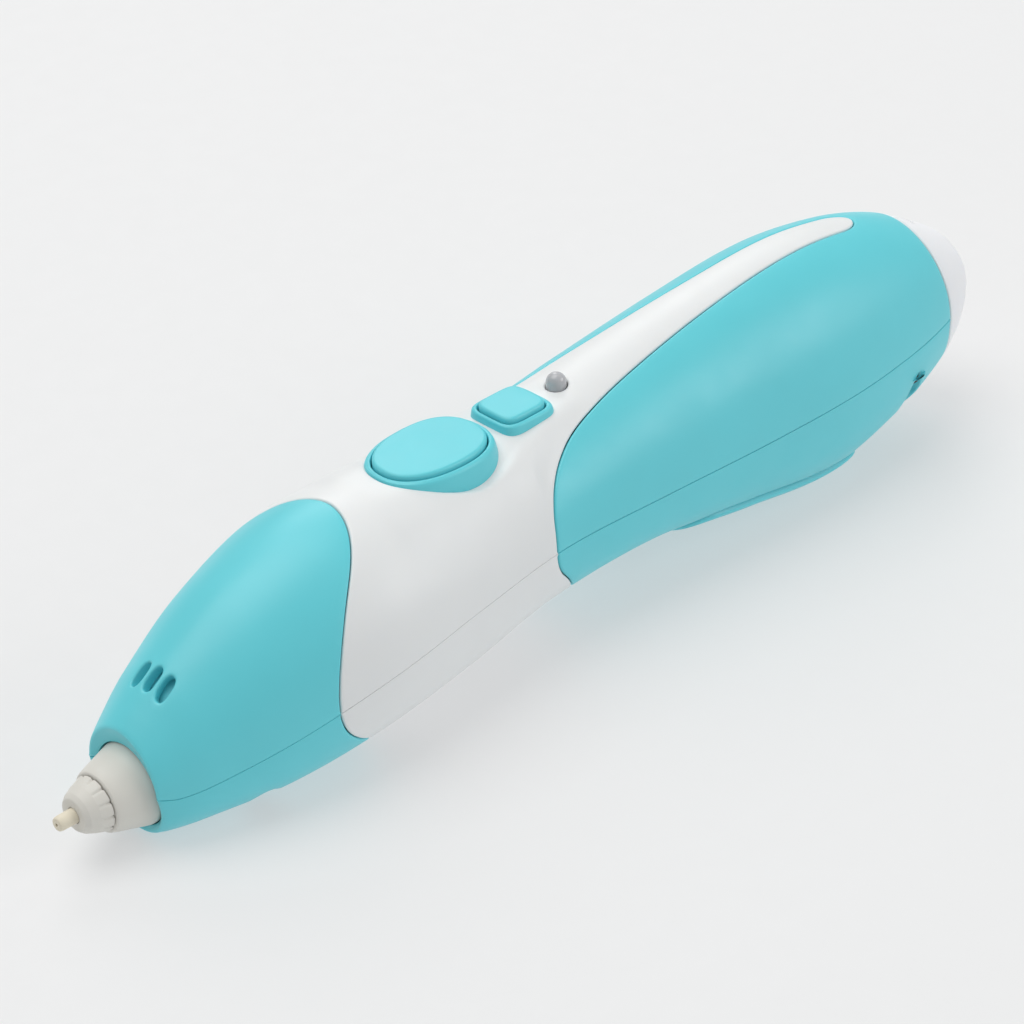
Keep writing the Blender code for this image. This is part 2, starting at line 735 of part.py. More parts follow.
def make_button(name, centre_x, half, style, brim):
    """A cap with a retaining flange, its bezel, and the switch with its plunger below."""
    def ring(grow, z):
        return level(oval(centre_x, half[0] + grow, half[1] + grow, **style), z)

    cap = loft(name + "_button", [ring(0.8, 28.7), ring(0.8, 29.6), ring(0, 29.6),
                                  ring(0, BUTTON_TOP - 0.5), ring(-0.5, BUTTON_TOP)])
    cap.data.transform(Matrix.Translation(-pen_point(centre_x, 0, 28.7)))
    cap.location = pen_point(centre_x, 0, 28.7)
    finish(cap, "teal_shell")

    def on_floor(outline):
        return [pen_point(x, y, bay_floor(x) + GAP) for x, y in outline]

    brim_half = (half[0] + brim[0], half[1] + brim[1])

    bore = [ring(GAP + 0.1, z) for z in (DECK_LOW, BUTTON_TOP - BEZEL_DROP)]
    outside = [ring(0.65, DECK_LOW), on_floor(oval(centre_x, half[0] + 0.65, half[1] + 0.65, **style)),
               on_floor(oval(centre_x, *brim_half, **style)), ring(0.9, BUTTON_TOP - BEZEL_DROP)]
    finish(loft(name + "_bezel", outside, bore), "teal_shell")

    switch = box(name + "_switch", (centre_x - 3, -3, BOARD_TOP + GAP), (centre_x + 3, 3, SWITCH_TOP))
    cut(switch, rod(name + "_switch_well", (centre_x, 0, 25.4), (centre_x, 0, 30), 1.9))
    finish(switch, "black_plastic")

    plunger = rod(name + "_plunger", (centre_x, 0, 26.4), (centre_x, 0, 28.7 - GAP), 1.5)
    finish(plunger, "white_shell")


def make_board():
    board = box("control_board", (52.5, -9.0, BOARD_LOW), (94.8, 9.0, BOARD_TOP))
    for label, x, y in BOARD_SCREWS:
        cut(board, rod(label + "_clearance", (x, y, 20), (x, y, 26), 1.2))
    finish(board, "board")

    spacer = turned("led_spacer", (LED_X, 0, BOARD_TOP + GAP), (0, 0, 1),
                    [(4.0, 1.0), (4.0, 1.9), (0, 1.9), (0, 1.0)], 16)
    finish(spacer, "white_shell")

    dome = [(LED_TOP - LED_R + LED_R * math.cos(a), LED_R * math.sin(a))
            for a in spread(0, math.pi / 2, 6)]
    lamp = turned("status_led", (LED_X, 0, 0), (0, 0, 1),
                  dome + [(29.8, LED_R), (29.8, 1.9), (28.6, 1.9), (28.6, 0)], 20)
    finish(lamp, "led_plastic")


# ---- filament path and drive -----------------------------------------------------------------

def path(start, end, start_z, end_z, count):
    return [(x, 0, start_z + (end_z - start_z) * smooth_step((x - start) / (end - start)))
            for x in spread(start, end, count)]


def make_tubes():
    guide = [(36.9, 0, NOZZLE_Z)] + path(39.5, 88.0, NOZZLE_Z, PATH_Z, 11) + [(102.0, 0, PATH_Z)]
    inlet = [(110.0, 0, PATH_Z)] + path(146.0, 162.0, PATH_Z, TAIL_PATH_Z, 6) \
        + [(174.0, 0, TAIL_PATH_Z)]
    for name, points in (("guide_tube", guide), ("inlet_tube", inlet)):
        first, last = points[0], points[-1]
        tube = bent_rod(name, points, 1.5)
        bore = [(first[0] - 1, 0, first[2])] + points[1:-1] + [(last[0] + 1, 0, last[2])]
        cut(tube, bent_rod(name + "_bore", bore, 1.0))
        finish(tube, "tube_plastic")


def make_drive_frame():
    left_low, left_high = CHEEK_LEFT
    right_low, right_high = CHEEK_RIGHT
    frame = box("drive_frame", (FRAME_FRONT, left_low, 9.6), (FRAME_BACK, left_high, 28.0))
    join(frame,
         box("cheek_right", (FRAME_FRONT, right_low, 13.4), (FRAME_BACK, right_high, 26.4)),
         box("front_wall", (FRAME_FRONT, left_low, FRAME_FOOT[0]), (FRAME_FRONT + 1.8, right_high, 26.4)),
         box("rear_wall", (FRAME_BACK - 1.8, left_low, 13.4), (FRAME_BACK, right_high, 26.4)),
         box("frame_foot", (91.2, -9.0, FRAME_FOOT[0]), (FRAME_FRONT + 1, 9.0, FRAME_FOOT[1])),
         box("spring_ear", (SPRING_X - 1.6, -8.6, 24.6), (FRAME_BACK, left_low + 1, 26.4)))
    through = (left_low - 1, right_high + 1)
    cut(frame,
        rod("axle_bores", (DRIVE_X, through[0], AXLE_Z), (DRIVE_X, through[1], AXLE_Z), 2.8),
        rod("idler_window", (DRIVE_X, through[0], IDLER_Z - 0.4), (DRIVE_X, 0, IDLER_Z - 0.4), 2.2),
        rod("pivot_bore", (PIVOT_X, through[0], IDLER_Z), (PIVOT_X, 0, IDLER_Z), 1.0 + GAP),
        rod("filament_bores", (90, 0, PATH_Z), (120, 0, PATH_Z), 1.5 + GAP),
        rod("gearbox_bore", (110, MOTOR_Y, AXLE_Z), (120, MOTOR_Y, AXLE_Z), 2.5))
    for side, sign in SIDES.items():
        x, spacing = FRAME_SCREWS
        cut(frame, rod("foot_hole_" + side, (x, sign * spacing, 11), (x, sign * spacing, 16), 1.2))
    finish(frame, "frame_plastic")


def round_points(angles, radius, along):
    return [Vector((radius * math.cos(a) * MM, radius * math.sin(a) * MM, along * MM))
            for a in angles]


def bevel_gear(name, teeth, other_teeth, direction, bore, hub, turn=0.0):
    """A bevel gear whose cone's apex is at the drive's centre. Its teeth fill under half of each
    pitch. The hub is (radius, length) behind the teeth."""
    pitch_r = BEVEL_MODULE * teeth / 2
    depth = BEVEL_MODULE * other_teeth / 2
    cone = math.hypot(pitch_r, depth)
    inner = 1 - CONE_FACE / cone
    tip = 0.8 * BEVEL_MODULE
    root = 1.15 * BEVEL_MODULE
    outline = []
    for i in range(teeth):
        for part, reach in ((0.31, -root), (0.42, tip), (0.58, tip), (0.69, -root)):
            outline.append((math.tau * (i + part - 0.5) / teeth + turn, reach))
    angles = [angle for angle, _ in outline]

    def tooth_ring(scale):
        points = []
        for angle, reach in outline:
            radius = (pitch_r + reach * depth / cone) * scale
            lift = (depth - reach * pitch_r / cone) * scale
            points += round_points([angle], radius, lift)
        return points

    hub_r, hub_length = hub
    hub_start = depth + 0.3
    bore_ends = (depth * inner, hub_start + hub_length)
    rings = [tooth_ring(inner), tooth_ring(1), round_points(angles, hub_r, hub_start),
             round_points(angles, hub_r, hub_start + hub_length)]
    gear = loft(name, rings, [round_points(angles, bore, along) for along in bore_ends])
    gear.location = pen_point(DRIVE_X, MOTOR_Y, AXLE_Z)
    return aim(gear, direction)


def toothed_wheel(name, teeth, radius, groove, width, bore):
    """The hobbed wheel that grips the filament, on its own axis."""
    angles = [math.pi * i / teeth for i in range(teeth * 2)]

    def ring(z):
        points = []
        for i, angle in enumerate(angles):
            points += round_points([angle], radius - groove * (i % 2), z)
        return points

    ends = (-width / 2, width / 2)
    wheel = loft(name, [ring(z) for z in ends], [round_points(angles, bore, z) for z in ends])
    wheel.location = pen_point(DRIVE_X, 0, AXLE_Z)
    return aim(wheel, (0, 1, 0))


def make_drive():
    axle_y = (CHEEK_LEFT[0] - GAP, CHEEK_RIGHT[1] + GAP)
    axle = rod("cross_axle", (DRIVE_X, axle_y[0], AXLE_Z), (DRIVE_X, axle_y[1], AXLE_Z), AXLE_R)
    finish(axle, "steel")
    finish(toothed_wheel("drive_wheel", 24, DRIVE_R, 0.4, 3.0, AXLE_R + GAP), "steel")
    finish(bevel_gear("bevel_wheel", WHEEL_TEETH, PINION_TEETH, (0, -1, 0), AXLE_R + GAP,
                      BEVEL_WHEEL_HUB, math.pi / WHEEL_TEETH), "brass")
    finish(bevel_gear("bevel_pinion", PINION_TEETH, WHEEL_TEETH, (1, 0, 0), SHAFT_R + GAP,
                      PINION_HUB), "brass")
    for side, (low, high) in (("left", CHEEK_LEFT), ("right", CHEEK_RIGHT)):
        bearing = turned("axle_bearing_" + side, (DRIVE_X, low, AXLE_Z), (0, 1, 0),
                         [(0, AXLE_R + GAP), (0, 2.5), (high - low, 2.5),
                          (high - low, AXLE_R + GAP)])
        finish(bearing, "brass")


def make_motor():
    front = FRAME_BACK + GAP
    shaft = rod("output_shaft", (DRIVE_X + 2.7, MOTOR_Y, AXLE_Z), (front + 1.4, MOTOR_Y, AXLE_Z), SHAFT_R)
    finish(shaft, "steel")
    gearbox = turned("planetary_gearbox", (0, MOTOR_Y, AXLE_Z), (1, 0, 0),
                     [(front + 1.8, 0), (front + 1.8, 1.1), (front - 1.6, 1.1), (front - 1.6, 2.2),
                      (front, 2.2), (front, MOTOR_R - 0.4), (front + 0.4, MOTOR_R),
                      (front + 11, MOTOR_R), (front + 11, 0)], 20)
    finish(gearbox, "steel")
    back = front + 11 + GAP
    motor = turned("drive_motor", (0, MOTOR_Y, AXLE_Z), (1, 0, 0),
                   [(back, 0), (back, MOTOR_R), (back + 14.6, MOTOR_R), (back + 15.4, MOTOR_R - 0.8),
                    (back + 15.4, 1.6), (back + 16.4, 1.4), (back + 16.4, 0)], 20)
    finish(motor, "steel")


def make_idler():
    lever = box("idler_lever", (PIVOT_X - 1.9, LEVER_Y[0], IDLER_Z - 1.8),
                (SPRING_X + 1.4, LEVER_Y[1], IDLER_Z + 1.8))
    join(lever, box("lever_tab", (SPRING_X - 1.6, -8.2, IDLER_Z + 0.4),
                    (SPRING_X + 1.4, LEVER_Y[1] - 0.4, IDLER_Z + 1.8)))
    cut(lever,
        rod("lever_pivot_bore", (PIVOT_X, -9, IDLER_Z), (PIVOT_X, 0, IDLER_Z), 1.0 + GAP),
        rod("lever_pin_bore", (DRIVE_X, -9, IDLER_Z), (DRIVE_X, 0, IDLER_Z), 0.9 + GAP))
    finish(lever, "frame_plastic")

    finish(rod("lever_pivot_pin", (PIVOT_X, LEVER_Y[0] - GAP, IDLER_Z),
               (PIVOT_X, CHEEK_LEFT[1], IDLER_Z), 1.0), "steel")
    pin = rod("idler_pin", (DRIVE_X, LEVER_Y[0] - GAP, IDLER_Z), (DRIVE_X, 1.5, IDLER_Z), 0.9)
    finish(pin, "steel")
    hang("lever_pivot", (PIVOT_X, 0, IDLER_Z), lever, pin)
    bearing = turned("idler_bearing", (DRIVE_X, -1.2, IDLER_Z), (0, 1, 0),
                     [(0, 0.9 + GAP), (0, IDLER_R), (2.4, IDLER_R), (2.4, 0.9 + GAP)])
    finish(bearing, "steel")

    turns = 5
    steps = 7
    low = IDLER_Z + 1.8 + 0.5
    high = 24.6 - 0.5
    coil = []
    for i in range(turns * steps + 1):
        angle = math.tau * i / steps
        coil.append((SPRING_X + 1.2 * math.cos(angle), SPRING_Y + 1.2 * math.sin(angle),
                     low + (high - low) * i / (turns * steps)))
    finish(bent_rod("lever_spring", coil, 0.25, 2), "steel")


# ---- power -----------------------------------------------------------------------------------

def make_power():
    cell = box("battery_cell", (122.0, -7.6, 5.4), (150.0, 7.6, 13.6))
    rounding = cell.modifiers.new("rounded", "BEVEL")
    rounding.width = 2.0 * MM
    rounding.segments = 3
    finish(cell, "cell_wrap")

    board = box("charge_board", (152.0, -5.5, CHARGE_BOARD_Z[0]), (170.0, 5.5, CHARGE_BOARD_Z[1]))
    finish(board, "board")
    socket = box("charge_socket", (164.8, -4.4, SOCKET_Z[0]), (172.6, 4.4, SOCKET_Z[1]))
    cut(socket, box("socket_mouth", (166.5, -4.0, SOCKET_Z[0] + 0.5), (175, 4.0, SOCKET_Z[1] - 0.5)))
    join(socket, box("socket_tongue", (166.0, -3.2, SOCKET_Z[0] + 1.3),
                     (172.0, 3.2, SOCKET_Z[0] + 1.9)))
    finish(socket, "steel")


# ---- screws ----------------------------------------------------------------------------------

def screw(name, x, y, seat, tip, radius=1.0, head_height=1.3):
    """A pan-head screw driven upwards: its head hangs below seat."""
    body = turned(name, (x, y, 0), (0, 0, 1),
                  [(tip, 0), (tip - 0.8, radius), (seat, radius), (seat, SCREW_HEAD_R),
                   (seat - head_height + 0.4, SCREW_HEAD_R), (seat - head_height, SCREW_HEAD_R - 0.5),
                   (seat - head_height, 0)], 10)
    return finish(body, "steel")


def make_screws():
    for pair, (x, spacing) in SCREW_PAIRS.items():
        for side, sign in SIDES.items():
            screw(f"{pair}_screw_{side}", x, sign * spacing, HEAD_SEATS[pair], SCREW_TIPS[pair])
    for label, x, y in BOARD_SCREWS:
        screw(label, x, y, BOARD_LOW - GAP, 29.0, 0.8)
    x, spacing = FRAME_SCREWS
    for side, sign in SIDES.items():
        fastener = turned("frame_screw_" + side, (x, sign * spacing, 0), (0, 0, 1),
                          [(15.8, 0), (15.8, 1.3), (15.4, SCREW_HEAD_R), (14.5, SCREW_HEAD_R),
                           (14.5, 0.8), (9.6, 0.8), (9.0, 0)], 10)
        finish(fastener, "steel")


make_nose_covers()
make_upper_housing()
make_lower_housing()
make_rear_covers()
make_tail_cap()
make_nozzle()
make_button("feed", FEED_X, FEED_HALF, FEED_OUTLINE, (1.3, 1.6))
make_button("power", POWER_X, POWER_HALF, POWER_OUTLINE, (1.0, 1.1))
make_board()
make_tubes()
make_drive_frame()
make_drive()
make_motor()
make_idler()
make_power()
make_screws()
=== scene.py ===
"""Looks of the 3-D drawing pen: moulded shells, buttons, nozzle, lamp and materials around the
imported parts. Lengths are in millimetres and x runs from the nozzle's tip (0) to the tail, as in
the part's own design; points become metres in the part's frame when a mesh is made."""
import math

import bpy
import numpy as np
from mathutils import Matrix, Vector, geometry, kdtree
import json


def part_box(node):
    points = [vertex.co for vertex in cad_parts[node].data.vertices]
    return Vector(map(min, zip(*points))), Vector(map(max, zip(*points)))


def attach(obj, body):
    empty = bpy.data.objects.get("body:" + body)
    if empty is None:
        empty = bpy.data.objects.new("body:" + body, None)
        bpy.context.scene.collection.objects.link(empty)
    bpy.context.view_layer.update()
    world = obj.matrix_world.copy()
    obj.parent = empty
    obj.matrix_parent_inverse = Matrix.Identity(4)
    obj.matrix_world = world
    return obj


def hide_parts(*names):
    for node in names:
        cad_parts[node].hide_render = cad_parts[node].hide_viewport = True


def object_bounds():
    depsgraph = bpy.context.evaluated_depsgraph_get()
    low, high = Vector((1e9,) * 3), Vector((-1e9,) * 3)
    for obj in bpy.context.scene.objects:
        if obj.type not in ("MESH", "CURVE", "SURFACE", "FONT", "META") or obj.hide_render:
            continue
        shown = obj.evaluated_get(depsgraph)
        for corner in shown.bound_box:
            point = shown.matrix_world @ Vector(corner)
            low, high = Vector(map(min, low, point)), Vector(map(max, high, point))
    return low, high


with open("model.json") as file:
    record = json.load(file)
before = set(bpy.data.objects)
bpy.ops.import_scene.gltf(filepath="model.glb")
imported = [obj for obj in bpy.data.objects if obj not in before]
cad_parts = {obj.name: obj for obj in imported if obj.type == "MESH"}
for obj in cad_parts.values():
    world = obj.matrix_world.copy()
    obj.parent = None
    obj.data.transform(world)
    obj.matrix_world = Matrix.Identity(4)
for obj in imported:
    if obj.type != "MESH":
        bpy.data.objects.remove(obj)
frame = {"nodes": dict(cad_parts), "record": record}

CAD_LOW, CAD_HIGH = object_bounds()
MM = 0.001
LENGTH = (CAD_HIGH.x - CAD_LOW.x) / MM
HALF_TURN = math.pi
TURN = math.tau

# The case: (x, half width, top, parting line, bottom) at each place where its shape turns.
STATIONS = np.array((
    (11.0, 7.1, 16.5, 9.2, 0.8),
    (14.0, 8.9, 19.1, 8.9, 0.1),
    (19.0, 11.1, 23.0, 9.9, -0.2),
    (31.0, 14.7, 29.8, 12.8, -0.2),
    (47.0, 17.2, 34.3, 16.6, 1.8),
    (63.0, 15.9, 33.4, 18.0, 2.8),
    (81.0, 14.1, 32.8, 18.6, 5.3),
    (101.0, 14.7, 35.4, 18.4, 6.3),
    (121.0, 15.6, 37.5, 18.2, 2.9),
    (139.0, 16.1, 38.37, 18.5, 0.3),
    (153.0, 15.0, 36.5, 18.9, 2.9),
    (163.0, 13.1, 33.4, 19.3, 6.4),
    (170.0, 10.4, 29.6, 19.6, 9.6),
    (175.0, 6.9, 26.2, 20.0, 14.6),
    (177.0, 3.2, 22.8, 20.2, 17.8),
))
TOP_ROUNDNESS = 1.9
BELLY_ROUNDNESS = 2.5
NOSE_ROUNDNESS = 2.05
WALL = 1.5
SEAM = 0.16
EDGE = 0.32
LIP = 0.5
NOSE_WALL = 1.5
MOUTH_R = 6.36
FINE_EDGE = 0.09
REAR_EDGE = 0.16
CASE_FRONT = 11.2
CASE_BACK = 165.0
MOUTH_BOW = 1.3

# Colour breaks as (z, x) seen from the side, and the spine's edge as (x, y) seen from above.
NOSE_BREAK_TOP = ((14.0, 36.6), (17.0, 36.8), (20.5, 37.8), (24.5, 39.8), (28.0, 42.4),
                  (31.2, 45.8), (34.8, 50.5), (37.0, 54.0))
NOSE_BREAK_BOTTOM = ((-1.0, 52.0), (5.0, 44.0), (8.0, 40.0), (10.5, 37.8), (13.5, 36.7), (17.0, 36.6))
REAR_BREAK_BOTTOM = ((-1.0, 90.5), (7.0, 86.0), (12.0, 82.4), (14.6, 80.3), (17.0, 79.3), (20.0, 79.1))
SPINE_EDGE = ((79.1, 14.2), (79.9, 12.8), (81.8, 11.0), (84.6, 9.2), (88.6, 7.5), (93.5, 6.4),
              (101.0, 5.4), (112.0, 4.4), (126.0, 3.5), (140.0, 3.0), (150.5, 2.6))
SPINE_END = 155.5

NOZZLE_Z = 7.7
BUTTON_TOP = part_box("feed_button")[1].z / MM
LAMP_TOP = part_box("status_led")[1].z / MM


def pen_x(metres):
    return metres / MM + LENGTH / 2


def middle_x(node):
    low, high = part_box(node)
    return pen_x((low.x + high.x) / 2)


FEED_X = middle_x("feed_button")
POWER_X = middle_x("power_button")
LAMP_X = middle_x("status_led")
LAMP_R = 1.5


# ---- curves and the case's outside -----------------------------------------------------------

def curve_through(knots, x):
    """A smooth curve through (x, value) knots, at every x."""
    knots = np.asarray(knots, float)
    place, value = knots[:, 0], knots[:, 1]
    slope = np.empty_like(value)
    slope[1:-1] = (value[2:] - value[:-2]) / (place[2:] - place[:-2])
    slope[0] = (value[1] - value[0]) / (place[1] - place[0])
    slope[-1] = (value[-1] - value[-2]) / (place[-1] - place[-2])
    x = np.clip(x, place[0], place[-1])
    i = np.clip(np.searchsorted(place, x, "right") - 1, 0, len(place) - 2)
    span = place[i + 1] - place[i]
    t = (x - place[i]) / span
    return (value[i] * (2 * t ** 3 - 3 * t ** 2 + 1) + slope[i] * span * (t ** 3 - 2 * t ** 2 + t)
            + value[i + 1] * (3 * t ** 2 - 2 * t ** 3) + slope[i + 1] * span * (t ** 3 - t ** 2))


WIDTH_FIT = (CAD_HIGH.y - CAD_LOW.y) / 2 / MM / STATIONS[:, 1].max() * 0.998


def station(column, x):
    return curve_through(STATIONS[:, (0, column)], x)


def parting(x):
    return station(3, x)


def smooth_step(low, high, value):
    t = np.clip((value - low) / (high - low), 0, 1)
    return t * t * (3 - 2 * t)


class Skin:
    """The outside of the case above or below the parting line. A place on it is (x, q), where q is
    the way across from the ridge (or keel), positive towards +y."""
    ROW = 0.5
    COLUMNS = 181

    def __init__(self, upper, swell=0.0, shape=None):
        self.sign = 1 if upper else -1
        self.swell = swell
        self.shape = shape
        self.rows = np.arange(STATIONS[0, 0], STATIONS[-1, 0] + self.ROW, self.ROW)
        angle = np.linspace(0, HALF_TURN / 2, self.COLUMNS)
        width, height = self.size(self.rows)
        power = self.power(self.rows)[:, None]
        y = width[:, None] * np.sin(angle) ** power
        z = height[:, None] * np.cos(angle) ** power
        steps = np.hypot(np.diff(y), np.diff(z))
        along = np.concatenate([np.zeros((len(steps), 1)), np.cumsum(steps, 1)], 1)
        self.lengths = along[:, -1]
        self.share_at_angle = along / self.lengths[:, None]
        even = np.linspace(0, 1, self.COLUMNS)
        self.angle_at_share = np.array([np.interp(even, row, angle) for row in self.share_at_angle])

    def power(self, x):
        """The exponent of the section's rounding: the belly is rounder under the nose."""
        if self.sign > 0:
            return np.full(np.shape(x), 2 / TOP_ROUNDNESS)
        return 2 / (NOSE_ROUNDNESS + (BELLY_ROUNDNESS - NOSE_ROUNDNESS) * smooth_step(14, 46, x))

    def size(self, x):
        width = station(1, x) * WIDTH_FIT + self.swell
        middle = parting(x)
        height = station(2, x) - middle if self.sign > 0 else middle - station(4, x)
        return width, height + self.swell

    def span(self, x):
        return np.interp(x, self.rows, self.lengths)

    def look_up(self, table, x, share):
        row = np.clip((x - self.rows[0]) / self.ROW, 0, len(self.rows) - 1.001)
        column = np.clip(share, 0, 1) * (self.COLUMNS - 1.001)
        i, j = row.astype(int), column.astype(int)
        s, t = row - i, column - j
        return ((table[i, j] * (1 - t) + table[i, j + 1] * t) * (1 - s)
                + (table[i + 1, j] * (1 - t) + table[i + 1, j + 1] * t) * s)

    def point(self, x, q):
        angle = self.look_up(self.angle_at_share, x, np.abs(q) / self.span(x))
        width, height = self.size(x)
        y = np.copysign(width * np.sin(angle) ** self.power(x), q)
        z = parting(x) + self.sign * height * np.cos(angle) ** self.power(x)
        points = np.stack([x, y, np.maximum(z, 0)], 1)
        return self.shape(points) if self.shape else points

    def normal(self, x, q):
        step = 0.12
        along = self.point(x + step, q) - self.point(x - step, q)
        across = self.point(x, q + step) - self.point(x, q - step)
        out = np.cross(along, across) * self.sign
        return out / np.linalg.norm(out, axis=1)[:, None]

    def q_at_y(self, x, y):
        width, _ = self.size(x)
        angle = np.arcsin(np.clip(np.abs(y) / width, 0, 1) ** (1 / self.power(x)))
        share = self.look_up(self.share_at_angle, x, angle / (HALF_TURN / 2))
        return np.copysign(share * self.span(x), y)

    def break_line(self, curve):
        """A colour break right across the case, from the +y parting line to the -y one."""
        angle = np.linspace(0, HALF_TURN / 2, 120)
        x = np.full(len(angle), np.mean([place for _, place in curve]))
        for _ in range(40):
            _, height = self.size(x)
            z = parting(x) + self.sign * height * np.cos(angle) ** self.power(x)
            x = (x + curve_through(curve, z)) / 2
        q = self.look_up(self.share_at_angle, x, angle / (HALF_TURN / 2)) * self.span(x)
        return np.concatenate([np.stack([x, q], 1)[::-1], np.stack([x, -q], 1)[1:]])

    def parting_edge(self, start, end, side):
        x = np.linspace(start, end, 200)
        return np.stack([x, side * self.span(x)], 1)

    def ring_edge(self, x, side, bow=0.0):
        """The section's outline at x, from one parting line to the other; side is the end's. bow
        moves its middle towards the tail."""
        share = np.linspace(-side, side, 160)
        place = x + bow * (1 - share ** 2)
        return np.stack([place, share * self.span(place)], 1)

    def plan(self, outline):
        """A closed outline seen from above, on the skin."""
        return np.stack([outline[:, 0], self.q_at_y(outline[:, 0], outline[:, 1])], 1)


def line_through(points):
    """A smooth line through points in the plane, by distance along them."""
    points = np.asarray(points, float)
    steps = np.hypot(*np.diff(points, axis=0).T)
    along = np.concatenate([[0], np.cumsum(steps)])
    fine = np.linspace(0, along[-1], 400)
    return np.stack([curve_through(np.stack([along, points[:, k]], 1), fine) for k in (0, 1)], 1)


def oval(centre_x, half_length, half_width, roundness=2.0, narrowing=0.0, count=120, centre_y=0.0):
    """A superellipse seen from above, narrower towards the tail when narrowing is above 0."""
    angle = TURN * (np.arange(count) + 0.5) / count
    c, s = np.cos(angle), np.sin(angle)
    u = np.copysign(np.abs(c) ** (2 / roundness), c)
    v = np.copysign(np.abs(s) ** (2 / roundness), s)
    return np.stack([centre_x + half_length * u, centre_y + half_width * v * (1 - narrowing * u)], 1)


# ---- mesh making -----------------------------------------------------------------------------

def to_frame(points):
    return (np.asarray(points, float) - (LENGTH / 2, 0, 0)) * MM


def make_piece(name, points, faces, crease=50):
    """A mesh from points in pen millimetres, smooth apart from creases sharper than the angle."""
    mesh = bpy.data.meshes.new(name)
    mesh.from_pydata(to_frame(points).tolist(), [], faces)
    mesh.validate()
    piece = bpy.data.objects.new(name, mesh)
    bpy.context.scene.collection.objects.link(piece)
    mesh.shade_smooth()
    mesh.set_sharp_from_angle(angle=math.radians(crease))
    return piece


def resample(line, step):
    steps = np.hypot(*np.diff(line, axis=0).T)
    along = np.concatenate([[0], np.cumsum(steps)])
    count = max(2, int(round(along[-1] / step)) + 1)
    even = np.linspace(0, along[-1], count)
    return np.stack([np.interp(even, along, line[:, k]) for k in (0, 1)], 1)[:-1]


def closed(*lines, step=0.4):
    """One closed loop from lines that follow each other, with a point at every corner."""
    if len(lines) == 1:
        lines = (np.concatenate([lines[0], lines[0][:1]]),)
    return np.concatenate([resample(line, step) for line in lines])


def turned_in(loop, distance, hole):
    """The loop moved into the piece by a distance at each of its points."""
    edge = np.roll(loop, -1, 0) - loop
    edge /= np.maximum(np.linalg.norm(edge, axis=1), 1e-9)[:, None]
    area = np.sum(loop[:, 0] * np.roll(loop[:, 1], -1) - np.roll(loop[:, 0], -1) * loop[:, 1])
    way = -1 if (area > 0) == hole else 1
    side = np.stack([-edge[:, 1], edge[:, 0]], 1) * way
    before = np.roll(side, 1, 0)
    both = side + before
    scale = np.maximum(1 + np.sum(side * before, 1), 0.5)
    return loop + both / scale[:, None] * np.asarray(distance)[:, None]


def inside(points, loops):
    """Whether each point is within the first loop and outside the others."""
    found = np.zeros(len(points), bool)
    for loop in loops:
        a, b = loop, np.roll(loop, -1, 0)
        for start in range(0, len(points), 4000):
            x = points[start:start + 4000, 0][:, None]
            y = points[start:start + 4000, 1][:, None]
            spans = (a[:, 1] > y) != (b[:, 1] > y)
            rise = np.where(b[:, 1] == a[:, 1], 1, b[:, 1] - a[:, 1])
            crossing = a[:, 0] + (y - a[:, 1]) * (b[:, 0] - a[:, 0]) / rise
            found[start:start + 4000] ^= (np.sum(spans & (x < crossing), 1) % 2).astype(bool)
    return found


def hexagonal(low, high, spacing):
    rows = np.arange(low[1], high[1], spacing * 0.866)
    columns = np.arange(low[0], high[0], spacing)
    x, y = np.meshgrid(columns, rows)
    x = x + spacing / 2 * (np.arange(len(rows)) % 2)[:, None]
    return np.stack([x.ravel(), y.ravel()], 1)


ROUNDING = np.radians((0, 22, 45, 68, 90))


